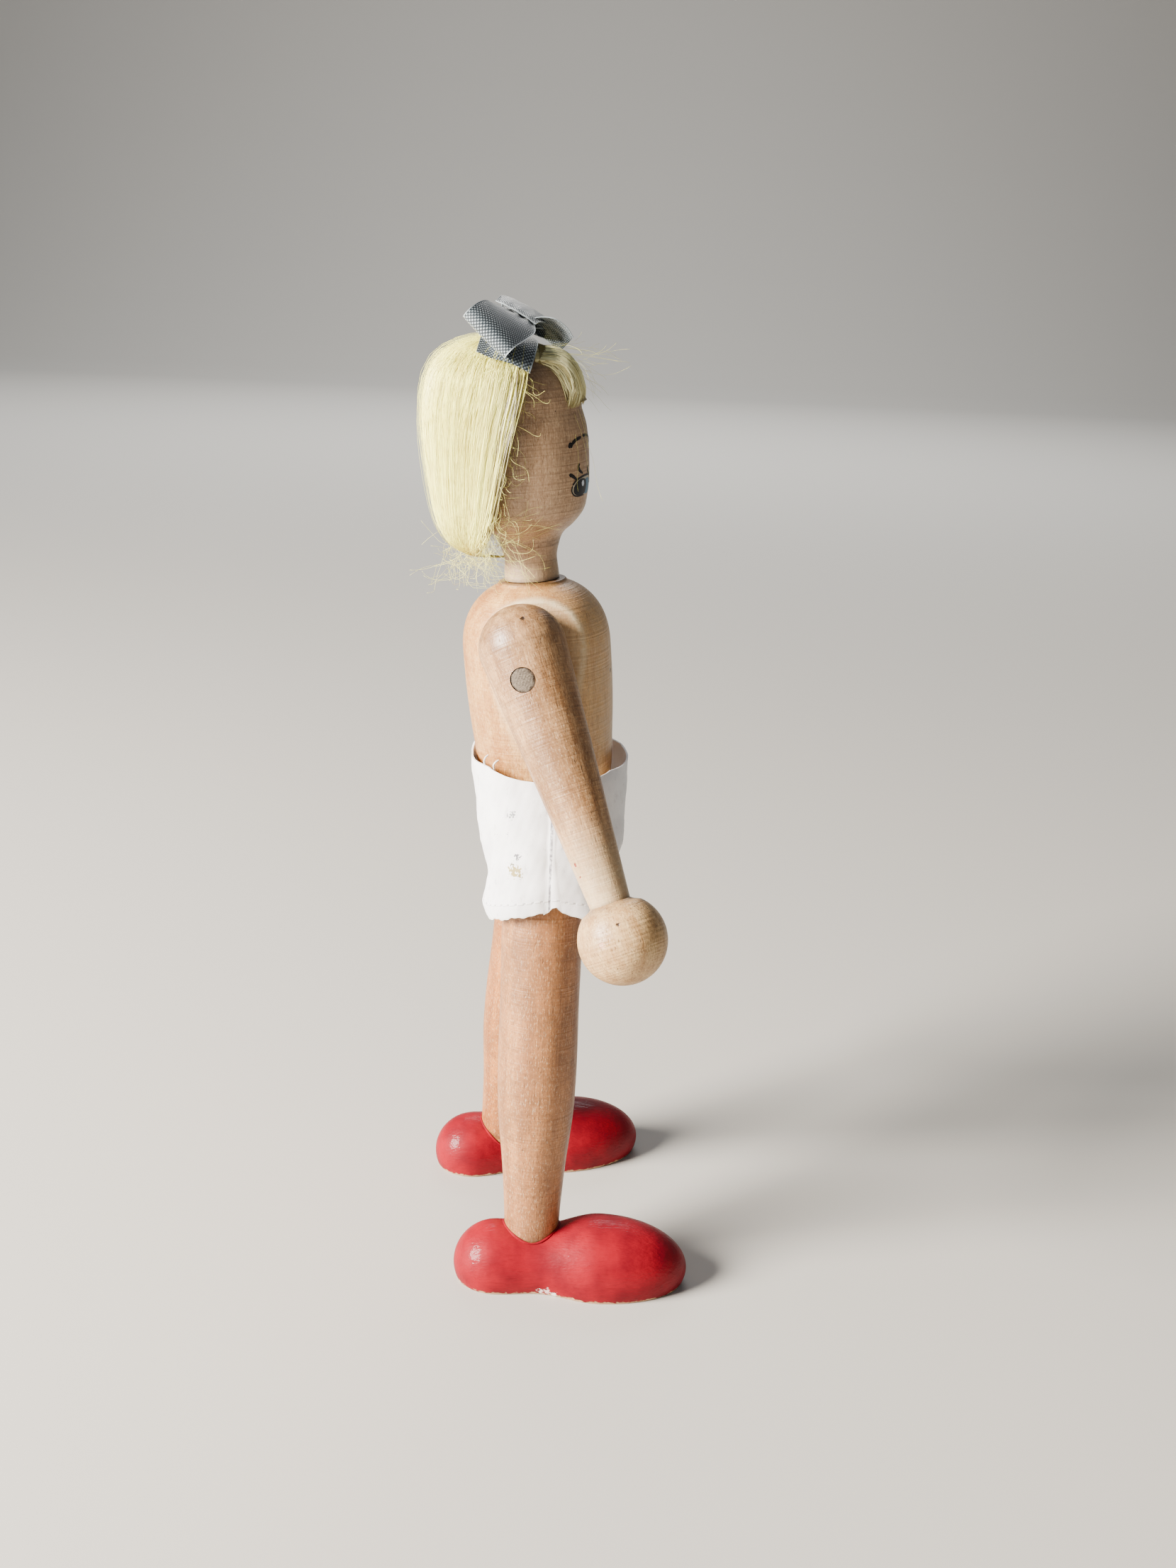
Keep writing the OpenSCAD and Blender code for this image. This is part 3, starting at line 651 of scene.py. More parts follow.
def make_head():
    head = turned("head_ball", head_outline(), HEAD, 160)
    local = in_frame(head, HEAD)
    height = local[:, 2]
    # Darker at the neck's seam, painted shade in the crease under the chin, and grime with painted shadow
    # along and under the wig's edge.
    chin_crease_shade = 0.35 * near(height, 7.6, 0.9)
    behind_hairline = local[:, 1] - hairline_y(height)
    grime_and_shadow_under_hair = 0.4 * ramp(behind_hairline, -2.4, 3) * (height > 8)
    mark(head, "dirt_and_shade", np.maximum(np.maximum(0.7 * near(height, SEAM_H, 0.5), chin_crease_shade), grime_and_shadow_under_hair))
    mark(head, "wear_and_highlight", 0.35 * ramp(-height, -7, 7))
    tones = ("#bb9976", "#a3815f", "#886a4f")
    material = old_birch("birch_head", tones, HEAD, rings=0.55, flecks=0.35, streak_w=4.0)
    finished(head, material, "wood", "head", "head")


def make_arm(side, name, swing, body):
    place = arm_place(side, swing)
    outline = arc(ARM_R, 90, 0, 36) + [(WRIST_R, -ARM_L), (0, -ARM_L)]
    arm = turned("arm_" + name + "_turned", even(outline, 0.7), place, 132)
    past = planed(arm, shoulder_place(side), (GAP, 0, 0), (-1, 0, 0))
    height = in_frame(arm, place)[:, 2]
    mark(arm, "wear_and_highlight", np.maximum(0.6 * near(past, -0.2, 0.6), 0.75 * ramp(-height, 34, 20)))
    # A thin dark line near the dome's top, painted shade over the top of the dome, and a darker joint at the
    # wrist.
    dark_line_and_shaded_top = np.maximum(0.45 * near(height, 3.9, 0.16), 0.42 * ramp(height, -3, 9))
    mark(arm, "dirt_and_shade", np.maximum(dark_line_and_shaded_top, 0.5 * near(height, -ARM_L, 0.4)))
    cut(arm, drill(shoulder_place(side), PEG_R))
    knocks = [
        ((7.2, -2.2, 4.2), 0.5, "#2b1b10"),
        ((-0.5, 8.2, -9.0), 0.5, "#3a2515"),
        ((3.0, 3.85, -44.0), 0.45, "#8a3a28"),
        ((2.8, 3.6, -46.5), 0.35, "#8a3a28"),
    ]
    tones, spots = ("#c09467", "#996d44", "#744f30"), at_place(place, knocks)
    material = old_birch("birch_arm_" + name, tones, place, spots, rings=0.2, flecks=0.55, streak_w=1.6)
    finished(arm, material, "wood", body, "arm_" + name)


def make_hand(side, name, swing, body):
    """The ball on the wrist, with a small rounded lip at the seam."""
    place = arm_place(side, swing)
    middle = -ARM_L - math.sqrt(HAND_R**2 - HAND_SEAT_R**2)
    top = -ARM_L + 0.05
    lip = flowing([(WRIST_R + 0.1, top), (WRIST_R + 0.55, top - 0.35), (HAND_SEAT_R + 0.45, top - 0.67)], 4)
    below_lip = math.degrees(math.acos(6.1 / HAND_R))
    ball = lip + arc(HAND_R, below_lip, -90, 60, (0, middle))
    hand = turned("hand_" + name + "_ball", [(0, top)] + even(ball, 0.5), place, 120)
    mark(hand, "dirt_and_shade", 0.55 * near(in_frame(hand, place)[:, 2], -ARM_L, 1.6))
    pin, knot = (8.2, -0.6, middle + 3.2), (8.0, 3.6, middle + 0.5)
    spots = at_place(place, [(pin, 0.35, "#3a2616"), (knot, 0.8, "#c99a7c")])
    tones = ("#d3ae7a", "#b98f5d", "#946c42")
    material = old_birch("birch_hand_" + name, tones, place, spots, rings=0.1, flecks=0.6, streak_w=1.8)
    finished(hand, material, "hand_wood", body, "hand_" + name)


def make_peg(side, name, swing, body, material):
    """The peg's end, trimmed to the arm's round and a little sunk, with a chipped edge."""
    place = shoulder_place(side) @ turned_by(-swing, "X")
    to_arm = arm_place(side, swing).inverted()
    rings, count = 14, 60
    peg_r, inner_end, sunk, chip_depth = PEG_R * 0.985, -8.0, 0.12, 0.22
    turns = [2 * math.pi * j / count for j in range(count)]

    def in_arm(x, y, z):
        p = to_arm @ (place @ Vector((x, y, z)))
        taper = (ARM_R - WRIST_R) * p.z / ARM_L
        return p.length < ARM_R if p.z > 0 else math.hypot(p.x, p.y) < ARM_R + taper

    points, edges = [], []
    for out in [i / rings for i in range(rings + 1)]:
        for turn in turns:
            y, z = peg_r * out * math.cos(turn), peg_r * out * math.sin(turn)
            flush = last_inside(5.0, 25.0, lambda x: in_arm(x, y, z))
            chip = chip_depth * max(0, (out - 0.8) / 0.2) * (1 + math.sin(5 * turn + 1) * math.sin(3 * turn))
            points.append((flush - sunk - chip - 0.05 * math.sin(9 * y) * math.cos(7 * z), y, z))
            edges.append(max(0, (out - 0.86) / 0.14))
    points += [(inner_end, peg_r * math.cos(turn), peg_r * math.sin(turn)) for turn in turns]
    edges += [1.0] * count
    faces = grid_faces(rings + 2, count, True)
    faces.append(tuple(reversed(range(len(points) - count, len(points)))))
    peg = new_piece("peg_" + name + "_shoulder", points, faces, place)
    mark(peg, "edge", np.array(edges))
    tidy_shell(peg)
    finished(peg, material, "peg_wood", body, "shoulder_peg_" + name)


def make_arms():
    grey_end = end_grain()
    for side, name, swing in ((-1, "right", RIGHT_ARM_SWING), (1, "left", LEFT_ARM_SWING)):
        make_arm(side, name, swing, name + "_arm")
        make_hand(side, name, swing, name + "_arm")
        make_peg(side, name, swing, name + "_arm", grey_end)


def make_leg(side, name, back, body, tones):
    """The leg, full at the hip and the calf and slim at the ankle, flat where it lies on the tongue."""
    place = leg_place(side, back)
    height_shares = [0, 0.2, 0.32, 0.42, 0.52, 0.6, 0.68, 0.75, 0.82, 0.91, 1]
    radius_shares = [1, 1, 0.96, 0.935, 0.965, 0.94, 0.84, 0.62, 0.38, 0.16, 0]
    shares = zip(height_shares, radius_shares)
    sides = flowing([(ANKLE_R + (LEG_R - ANKLE_R) * r, -LEG_L * h) for h, r in shares], 8)
    outline = arc(LEG_R, 90, 0, 32) + sides[1:] + [(ANKLE_R, -LEG_L - ANKLE_IN), (0, -LEG_L - ANKLE_IN)]
    leg = turned("leg_" + name + "_turned", even(outline, 0.8), place, 132)
    past = planed(leg, side_of(side), (TONGUE_HALF + GAP, 0, 0), (-1, 0, 0))
    mark(leg, "wear_and_highlight", 0.5 * near(past, -0.2, 0.5))
    mark(leg, "dirt_and_shade", 0.75 * near(in_frame(leg, place)[:, 2], -LEG_L, 0.7))
    material = old_birch("birch_leg_" + name, tones, place, rings=0.3, flecks=0.5, streak_w=3.2)
    finished(leg, material, "wood", body, "leg_" + name)


def make_legs():
    right_tones, left_tones = ("#b57a48", "#945f37", "#744b2b"), ("#bd7636", "#995a28", "#784620")
    for side, name, back, toe_out, tones in (
        (-1, "right", 0.0, RIGHT_TOE_OUT, right_tones),
        (1, "left", LEFT_LEG_BACK, LEFT_TOE_OUT, left_tones),
    ):
        make_leg(side, name, back, name + "_leg", tones)
        make_shoe(side, name, back, toe_out, name + "_leg")


# Shoes


def red_enamel(chips):
    """Brushed enamel on turned wood: deep red, dulled by age to a soft satin over the raised grain, thin and
    pale along the sole's edge, with small chips down to pink primer and bare wood."""
    material, tree, shader = new_material("red_enamel_on_birch", 0.55, 0.12, 0.13, 0.1)
    here = in_mm(tree)
    cloud = uneven(tree, here, 6.0, 3.0, 0.5)
    grain = uneven(tree, here, (0.5, 3.5, 0.5), 3.0, 0.6)
    ragged = add(tree, "MapRange", uneven(tree, here, (1.2, 1.2, 0.8)), 0.3, 0.7, -0.35, 0.5)
    rim = add(tree, "Math", add(tree, "SeparateXYZ", here, out="Z"), ragged, operation="ADD")
    bare = add(tree, "MapRange", rim, 0.7, 0.5)
    colour = layered(
        tree,
        "#8a071a",
        (cloud, 0.35, 0.68, 1.0, "#6c0515"),
        (grain, 0.58, 0.72, 0.35, "#5c070b"),
        (bare, 0.0, 1.0, 1.0, "#caa37c"),
    )
    colour, chipped = spots_on(tree, colour, chips, 0.7)
    tree.links.new(colour, shader["Base Color"])
    pits = add(tree, "Math", bare, chipped, operation="MAXIMUM")
    waves = add(tree, "Math", add(tree, "Math", grain, cloud, operation="ADD"), pits, operation="SUBTRACT")
    bump = add(tree, "Bump", 0.45, 0.0003, 1.0, waves)
    tree.links.new(bump, shader["Normal"])
    tree.links.new(bump, shader["Coat Normal"])
    return material


def shoe_radius(share):
    """The shoe's radius at a share of its length: a round heel, a slim waist and a round toe."""
    if share < HEEL_SHARE:
        return HEEL_R * math.sqrt(max(0, 1 - ((HEEL_SHARE - share) / HEEL_SHARE) ** 2))
    if share > TOE_SHARE:
        return TOE_R * math.sqrt(max(0, 1 - ((share - TOE_SHARE) / (1 - TOE_SHARE)) ** 2))
    if share < WAIST_SHARE:
        start, end, t = HEEL_R, SHOE_WAIST_R, (share - HEEL_SHARE) / (WAIST_SHARE - HEEL_SHARE)
    else:
        start, end, t = SHOE_WAIST_R, TOE_R, (share - WAIST_SHARE) / (TOE_SHARE - WAIST_SHARE)
    return start + (end - start) * (1 - math.cos(math.pi * t)) / 2


def tube(name, path, radii, closed=False):
    """A round cord along a path, in millimetres."""
    path, sides = np.array(path, float), 8
    count = len(path)
    ahead = np.roll(path, -1, 0) - np.roll(path, 1, 0)
    if not closed:
        ahead[0], ahead[-1] = path[1] - path[0], path[-1] - path[-2]
    ahead = unit(ahead)
    across = np.cross(ahead[0], (0.3, 0.5, 0.8))
    points, faces = [], []
    for i in range(count):
        across = unit(across - ahead[i] * (across @ ahead[i]))
        third = np.cross(ahead[i], across)
        for k in range(sides):
            turn = 2 * math.pi * k / sides
            points.append(path[i] + radii[i] * (math.cos(turn) * across + math.sin(turn) * third))
    for i in range(count if closed else count - 1):
        faces += between(i * sides, (i + 1) % count * sides, sides, True)
    if not closed:
        faces.append(tuple(reversed(range(sides))))
        faces.append(tuple(range((count - 1) * sides, count * sides)))
    return new_piece(name, points, faces)


def paint_lip(side, back, toe_out):
    """The thin ridge that the brush left round the ankle."""
    leg, to_shoe = leg_place(side, back), shoe_place(side, back, toe_out).inverted()
    turns = [2 * math.pi * j / 72 for j in range(72)]

    def on_ankle(turn, h):
        r = ANKLE_R + 0.2 + 0.02 * max(0, h + LEG_L)
        return leg @ Vector((r * math.cos(turn), r * math.sin(turn), h))

    def in_shoe(turn, h):
        p = to_shoe @ on_ankle(turn, h)
        return math.hypot(p.x, p.y) < shoe_radius((p.z + HEEL_L) / (HEEL_L + TOE_L))

    path = []
    for turn in turns:
        edge = last_inside(-LEG_L - ANKLE_IN, -LEG_L + 14, lambda h: in_shoe(turn, h))
        path.append(np.array(on_ankle(turn, edge + 0.05)))
    return tube("lip", path, [0.2 + 0.1 * math.sin(3 * turn) ** 2 for turn in turns], True)


def make_shoe(side, name, back, toe_out, body):
    heel, middle, toe = 22, 50, 30
    stations = [HEEL_SHARE * (1 - math.cos(math.pi / 2 * i / heel)) for i in range(heel)]
    stations += [HEEL_SHARE + (TOE_SHARE - HEEL_SHARE) * i / middle for i in range(middle + 1)]
    stations += [TOE_SHARE + (1 - TOE_SHARE) * math.sin(math.pi / 2 * i / toe) for i in range(1, toe + 1)]
    outline = [(shoe_radius(share), (HEEL_L + TOE_L) * share - HEEL_L) for share in stations]
    place = shoe_place(side, back, toe_out)
    shoe = turned("shoe_" + name + "_turned", outline, place, 128)
    planed(shoe, Matrix.Identity(4), (0, 0, 0), (0, 0, -1))
    join(shoe, paint_lip(side, back, toe_out))
    chips = [
        ((7.75, -2.4, 2.6), 0.75, "#e9d3cf"),
        ((7.9, -2.2, 4.0), 0.8, "#e2bdb6"),
        ((8.1, -2.7, 5.4), 0.7, "#efe3dc"),
        ((-2.0, -1.0, TOE_L - 0.4), 0.8, "#caa37e"),
    ]
    finished(shoe, red_enamel(at_place(place, chips)), "red_enamel", body, "shoe_" + name)


# Hair


def hair_outline():
    """The wig's half outline from its rolled ends up to the crown, given back from the crown down."""
    height_shares = [0, 0.012, 0.04, 0.1, 0.19, 0.3, 0.42, 0.52, 0.62, 0.71, 0.79, 0.86, 0.92, 0.965, 0.99, 1]
    radius_shares = [0, 0.25, 0.57, 0.81, 0.925, 0.97, 0.99, 1, 1, 0.98, 0.94, 0.875, 0.76, 0.57, 0.33, 0]
    span = HEAD_H + BOB_OVER - BOB_LOW_H
    places = [(BOB_R * r, BOB_LOW_H + span * h) for h, r in zip(height_shares, radius_shares)]
    return np.maximum(np.array(even(flowing(places, 6), 0.3)), (0, 0))[::-1]


BOB_LINE = hair_outline()
KNOT_H = HEAD_H + BOB_OVER + KNOT_R + 0.2
KNOT_Y = -0.1


def bob_radius(h):
    return float(np.interp(h, BOB_LINE[::-1, 1], BOB_LINE[::-1, 0]))


def smoothly(t):
    t = np.clip(t, 0, 1)
    return t * t * (3 - 2 * t)


def hairline_y(h):
    return -(h - HAIRLINE_H) * math.tan(math.radians(HAIRLINE_SLOPE))


def hair_edge_y(h):
    """The combed hair's front edge, a little behind the solid's cut, most of all at the temples."""
    return hairline_y(h) + 0.5 + 1.8 * smoothly((h - 8) / 26)


def bob_outward(points):
    """The wig's outward direction at each point of the head's frame."""
    return unit((points - WIG_MIDDLE) / (BOB_R**2, BOB_R**2, WIG_HALF_H**2))


def combed(u, lift, end=0.93, inward=0.0):
    """Strands from under the knot down to the rolled ends. u runs from the right hairline round the back
    to the left one, lift is the height above the wig's surface, end is the share of the way down where a
    strand ends, and inward takes hairline strands in towards the head."""
    run = run_along(BOB_LINE)
    t = np.linspace(0.02, 1, np.shape(lift)[1])[None] * np.asarray(end).reshape(-1, 1)
    r = np.interp(t, run / run[-1], BOB_LINE[:, 0])
    h = np.interp(t, run / run[-1], BOB_LINE[:, 1])
    reach = np.arccos(np.clip((hair_edge_y(h) - BOB_SET_BACK) / np.maximum(r, 0.01), -1, 1))
    angle = reach * (2 * u - 1)
    x, y = r * np.sin(angle), BOB_SET_BACK + r * np.cos(angle)
    from_back = np.abs(2 * u[:, :1] - 1)
    start_x = 2.6 * np.sign(u[:, :1] - 0.5) * from_back**0.7
    start_y = KNOT_Y + 1.2 - 1.8 * from_back
    w = smoothly(t / 0.3)
    x, y = (1 - w) * start_x + w * x, (1 - w) * start_y + w * y
    top = BOB_LINE[: len(BOB_LINE) // 3]
    h = np.where(t < 0.3, np.interp(np.hypot(x, y - BOB_SET_BACK), top[:, 0], top[:, 1]), h)
    path = np.stack([x, y, h], -1)
    path += bob_outward(path) * np.asarray(lift)[..., None]
    path[..., 0] *= 1 - np.asarray(inward) * smoothly((path[..., 2] - 3) / 12) * smoothly((t - 0.12) / 0.15)
    return path


def strands(name, paths, outs, widths, tones):
    """Flat-backed, ridged strands along the paths, in one mesh, each point with its tone and place along."""
    count, stations = paths.shape[:2]
    side = unit(np.cross(np.gradient(paths, axis=1), outs))
    taper = np.interp(np.linspace(0, 1, stations), [0, 0.1, 0.85, 1], [0.6, 1, 1, 0.35])
    half = (widths[:, None] * taper)[..., None] / 2
    points = np.stack([paths - side * half, paths + outs * half * 0.8, paths + side * half], 2)
    first = (np.arange(count)[:, None] * stations + np.arange(stations - 1)).reshape(-1, 1) * 3
    quads = np.concatenate([first + (0, 3, 4, 1), first + (1, 4, 5, 2)])
    piece = new_piece(name, points.reshape(-1, 3), quads.tolist(), HEAD)
    mark(piece, "tone", np.repeat(tones, stations * 3))
    mark(piece, "along", np.tile(np.repeat(np.linspace(0, 1, stations), 3), count))
    return piece


def mohair(name, light, middle, dark):
    """Bleached mohair, combed and slightly felted: silky pale gold with a broad soft shine along the fibres,
    greenish brown as painted shade where the strands sink in, at the rolled ends and, a little, where they
    start under the knot."""
    material, tree, shader = new_material(name, 0.42, 0.4)
    tone = add(tree, "Attribute", attribute_name="tone", out="Fac")
    place = add(tree, "Attribute", attribute_name="along", out="Fac")
    cloud = add(tree, "MapRange", uneven(tree, in_mm(tree), 3.0), 0.3, 0.7, -0.12, 0.12)
    tone = add(tree, "Math", tone, cloud, operation="ADD")
    colour = layered(
        tree,
        middle,
        (tone, 0.4, 0.85, 1.0, light),
        (tone, 0.34, 0.02, 1.0, dark),
        # Painted shade: darker at the rolled ends and where the strands start under the knot.
        (place, 0.86, 1.0, 0.75, "#8d7d45"),
        (place, 0.22, 0.0, 0.35, "#a8945a"),
    )
    tree.links.new(colour, shader["Base Color"])
    return material


def even_tone(piece, tone):
    """One tone all over and no ends, for hair that isn't made of combed strands."""
    mark(piece, "tone", np.full(len(piece.data.vertices), tone))
    mark(piece, "along", np.full(len(piece.data.vertices), 0.5))


def underlay(node, depth, fitted, tone, material):
    """A copy of the solid hair, merged, drawn in a little and fitted, for the strands to lie on."""
    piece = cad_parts[node].copy()
    piece.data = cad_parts[node].data.copy()
    piece.name = node + "_underlay"
    bpy.context.scene.collection.objects.link(piece)
    for key in list(piece.keys()):
        del piece[key]
    piece.parent = None
    piece.hide_render = False
    tidy_shell(piece)
    drawn_in = points_of(piece) - np.array([v.normal for v in piece.data.vertices]) * depth
    set_points(piece, carried(fitted(carried(drawn_in, HEAD.inverted())), HEAD))
    even_tone(piece, tone)
    finished(piece, material, "hair", "head", node)


def bob_fitted(points):
    """Draws the wig's underlay back from the hairline and up from the rolled ends, under the strands."""
    y, h = points[:, 1], points[:, 2]
    edge_step = 0.4 + hair_edge_y(h) - hairline_y(h)
    from_edge = np.clip(1 - (y - hairline_y(h)) / 9, 0, 1)
    return np.stack([points[:, 0], y + edge_step * from_edge, h + 3 * ramp(-h, -11, 6)], -1)


def fringe_fitted(points):
    return points * (0.9, 1, 1)


def combed_strands(draw):
    """The wig's body: strands in clumps, sleek at the back and more ruffled towards the two front edges."""
    count, clumps = 4300, 300
    clump = draw.uniform(0, 1, clumps)
    belongs = draw.integers(0, clumps, count)
    clump_tone, clump_lift = draw.normal(0, 0.13, clumps), draw.normal(0, 0.1, clumps)
    u = np.clip(clump[belongs] + draw.normal(0, 0.006, count), 0, 1)
    from_back = np.abs(2 * u - 1)
    ruffled = smoothly((from_back - 0.5) / 0.5)
    t = np.linspace(0, 1, COMBED_STATIONS)[None]
    swing, wave, phase, end, shade, _ = draw.normal(0, 1, (6, count))
    sway = ((0.003 + 0.011 * ruffled) * swing)[:, None]
    sway = sway * np.sin(2 * math.pi * (t * (0.8 + 0.5 * wave[:, None]) + phase[:, None]))
    gather = 1 - (0.15 + 0.5 * ruffled[:, None]) * smoothly(t)
    u_line = np.clip(clump[belongs][:, None] + (u - clump[belongs])[:, None] * gather + sway, 0, 1)
    depth = draw.uniform(0, 1, count) ** 0.7
    lift = (-0.24 + 0.34 * depth + clump_lift[belongs] * (0.3 + 1.5 * ruffled))[:, None]
    paths = combed(u_line, lift * (0.4 + 0.6 * np.sin(math.pi * t)), 0.92 + 0.03 * end)
    # Tones differ at random by clump and strand; lower-lying strands and those near the two front edges are
    # darker as painted shade.
    tones = 0.58 + 0.26 * (depth - 0.55) + clump_tone[belongs] * (0.6 + 1.3 * ruffled) + 0.1 * shade
    tones -= 0.34 * smoothly((from_back - 0.72) / 0.28)
    return strands("hair_bob_strands", paths, bob_outward(paths), draw.uniform(0.15, 0.32, count), tones)


def crossing_strands(draw):
    """Finer strands over the combed ones, most of them near the front edges, that cross them at a slant."""
    count = 520
    t = np.linspace(0, 1, COMBED_STATIONS)[None]
    u = draw.uniform(0, 1, (count, 1)) ** 0.8
    u = np.where(draw.random((count, 1)) < 0.5, u, 1 - u)
    u_line = np.clip(u + 0.07 * draw.normal(0, 1, (count, 1)) * t, 0, 1)
    lift = 0.12 + 0.22 * draw.random((count, 1)) * np.sin(math.pi * t)
    paths = combed(u_line, lift, draw.uniform(0.6, 0.95, count))
    widths = draw.uniform(0.07, 0.13, count)
    tones = 0.55 + 0.15 * draw.normal(0, 1, count)
    return strands("hair_crossing", paths, bob_outward(paths), widths, tones)


def edge_strands(draw):
    """The front edges of the wig, seen from its side: layers of strands from its surface in to the head."""
    count = 760
    t = np.linspace(0, 1, COMBED_STATIONS)[None]
    side = np.repeat([0.0, 1.0], count // 2)
    depth = draw.uniform(0, 0.24, count)
    waver = 0.045 * draw.normal(0, 1, (count, 1)) * np.sin(2 * math.pi * t * draw.uniform(0.6, 2, (count, 1)))
    u_line = np.clip(np.abs(side - draw.exponential(0.028, count))[:, None] + np.abs(waver), 0, 1)
    u_line = np.where(side[:, None] > 0.5, 1 - np.abs(1 - u_line), u_line)
    sunk = np.full((count, COMBED_STATIONS), -0.05)
    paths = combed(u_line, sunk, draw.uniform(0.86, 0.96, count), depth[:, None])
    # The edge strands are darker than the combed ones, and darker still the deeper in they lie, as painted
    # shade.
    tones = 0.4 - 1.1 * depth + 0.12 * draw.normal(0, 1, count)
    outs = unit(bob_outward(paths) * 0.5 + (0, -0.86, 0))
    return strands("hair_bob_edge_strands", paths, outs, draw.uniform(0.12, 0.24, count), tones)


def over_dome(across, bend, lift):
    """A point of the fringe: millimetres to the side, degrees down from the crown, and its lift."""
    share = np.sqrt(1 - (across / (DOME_R + lift)) ** 2)
    y = -(DOME_R + lift) * share * np.sin(np.radians(bend))
    return np.stack([across, y, DOME_H + (DOME_RISE + lift) * share * np.cos(np.radians(bend))], -1)


def fringe_strands(draw):
    """A roll of hair from the bow down to the forehead, its ends showing the strands below the top ones."""
    count, at_ends, clumps = 1900, 800, 70
    t = np.linspace(0, 1, FRINGE_STATIONS)[None]
    clump = draw.uniform(-1, 1, clumps)
    belongs = draw.integers(0, clumps, count)
    across = np.clip(clump[belongs] + draw.normal(0, 0.05, count), -1, 1)
    rim = np.arange(count) < at_ends
    across[rim] = np.where(draw.random(at_ends) < 0.5, -1, 1) * (1 - draw.exponential(0.012, at_ends))
    layer = np.where(rim, draw.uniform(0.02, 1, count), draw.uniform(0.75, 1.05, count))
    half_w = FRINGE_W / 2 * (0.84 + 0.16 * smoothly(t * 1.4))
    bend = 13 + 73 * t * (0.955 + 0.04 * draw.normal(0, 1, (count, 1)))
    waver = 0.2 * np.sin(6 * t + draw.uniform(0, 6, (count, 1))) + 0.3 * draw.normal(0, 1, (count, 1)) * t
    tuck = 1 - 0.75 * smoothly((t - 0.84) / 0.16)
    puff = FRINGE_T * (0.3 + 0.7 * smoothly(t / 0.4)) + 0.8 * np.sin(math.pi * t) ** 3
    paths = over_dome(across[:, None] * half_w + waver, np.clip(bend, 0, 88), puff * layer[:, None] * tuck)
    outs = unit(paths - (0, 0, 30))
    sideways = np.sign(across)[:, None, None] * np.array([1.0, 0, 0])
    outs = unit(np.where(rim[:, None, None], outs * 0.5 + sideways * 0.85, outs))
    # Lower layers of the roll are darker as painted shade; clumps and strands also differ at random.
    tones = 0.5 + 0.5 * (layer - 0.75) + draw.normal(0, 0.26, clumps)[belongs] + draw.normal(0, 0.2, count)
    return strands("hair_fringe_strands", paths, outs, draw.uniform(0.12, 0.24, count), tones)


def clear_of_head(path, gap):
    """Moves a hair's points that are inside the head or neck out to its surface, and none below the seam."""
    edge = np.interp(path[:, 2], [p[1] for p in HEAD_LINE], [p[0] for p in HEAD_LINE]) + gap
    away = np.maximum(np.hypot(path[:, 0], path[:, 1]), 0.01)
    path[:, :2] *= np.maximum(edge / away, 1)[:, None]
    path[:, 2] = np.maximum(path[:, 2], SEAM_H + 0.05)
    return path


def wandering(draw, start, ahead, length, bend, curl):
    """A loose hair that bends to one side and curls to both, clear of the head."""
    t = np.linspace(0, 1, STRAY_STATIONS)
    ahead = unit(np.array(ahead, float))
    one = unit(np.cross(ahead, draw.normal(0, 1, 3)))
    two = np.cross(ahead, one)
    a, b = (curl * np.sin(2 * math.pi * draw.uniform(0.5, 1.6) * t + draw.uniform(0, 6)) for _ in range(2))
    a = a + bend * t
    sideways = np.outer(np.sin(a) * np.cos(b), one) + np.outer(np.sin(b), two)
    heading = np.outer(np.cos(a) * np.cos(b), ahead) + sideways
    path = np.array(start) + np.cumsum(heading, 0) * length / STRAY_STATIONS
    return clear_of_head(path, 0.12 + 0.5 * draw.random())


def nape_hair(draw):
    """A loose hair below the wig, at the neck and the jaw."""
    side = -1 if draw.random() < 0.6 else 1
    h = 5.2 + 9 * draw.random() ** 1.6
    y = hairline_y(h) + draw.normal(0, 2.2) + 0.8
    r = bob_radius(h) * draw.uniform(0.8, 0.98)
    start = (side * math.sqrt(max(4, r * r - (y - BOB_SET_BACK) ** 2)), y, h)
    ahead = (side * draw.uniform(-0.4, 0.5), -0.5 + 0.6 * draw.normal(), -0.4 + 0.5 * draw.normal())
    return wandering(draw, start, ahead, draw.uniform(5, 15), 2.0 * draw.normal(), 0.2)


def hairline_hair(draw):
    """A short curl in front of the wig's edge, more of them low than high."""
    side = -1 if draw.random() < 0.5 else 1
    h = 9 + 35 * draw.random() ** 1.5
    y = hair_edge_y(h) + 0.4
    start = (side * math.sqrt(max(9, bob_radius(h) ** 2 - (y - BOB_SET_BACK) ** 2)) * 0.98, y, h)
    ahead = (side * 0.1, 0.22 * draw.normal(), -0.95)
    return wandering(draw, start, ahead, draw.uniform(3, 9), 1.8 * draw.normal(), 0.5)


def lifted_hair(draw):
    """A hair of the wig that stands off the combed ones."""
    t = np.linspace(0, 1, STRAY_STATIONS)[None]
    u = np.clip(draw.uniform(0, 1) + 0.03 * draw.normal() * t, 0, 1)
    lift = 0.15 + draw.uniform(0.2, 1.5) * np.sin(math.pi * t) ** 1.5
    return combed(u, lift, draw.uniform(0.4, 1.0))[0]


def crown_hair(draw):
    """A hair that springs forward off the fringe."""
    bend = draw.uniform(24, 60)
    start = over_dome(draw.uniform(-7, 7), bend, FRINGE_T)
    down = math.radians(bend)
    forward, upward = math.cos(down) + 0.25 * math.sin(down), 0.45 * math.cos(down) - math.sin(down)
    ahead = (0.35 * draw.normal(), -forward, upward)
    return wandering(draw, start, ahead, draw.uniform(6, 17), 1.1 * draw.normal(), 0.16)


def cheek_hair(draw, across, h, length):
    """A long hair that hangs down over the temple or cheek."""
    start = (-across, -math.sqrt((head_radius(h) + 0.3) ** 2 - across**2), h)
    ahead = (0.12 * draw.normal(), 0.1 * draw.normal() - 0.1, -1)
    return wandering(draw, start, ahead, length, 0.5 * draw.normal(), 0.15)


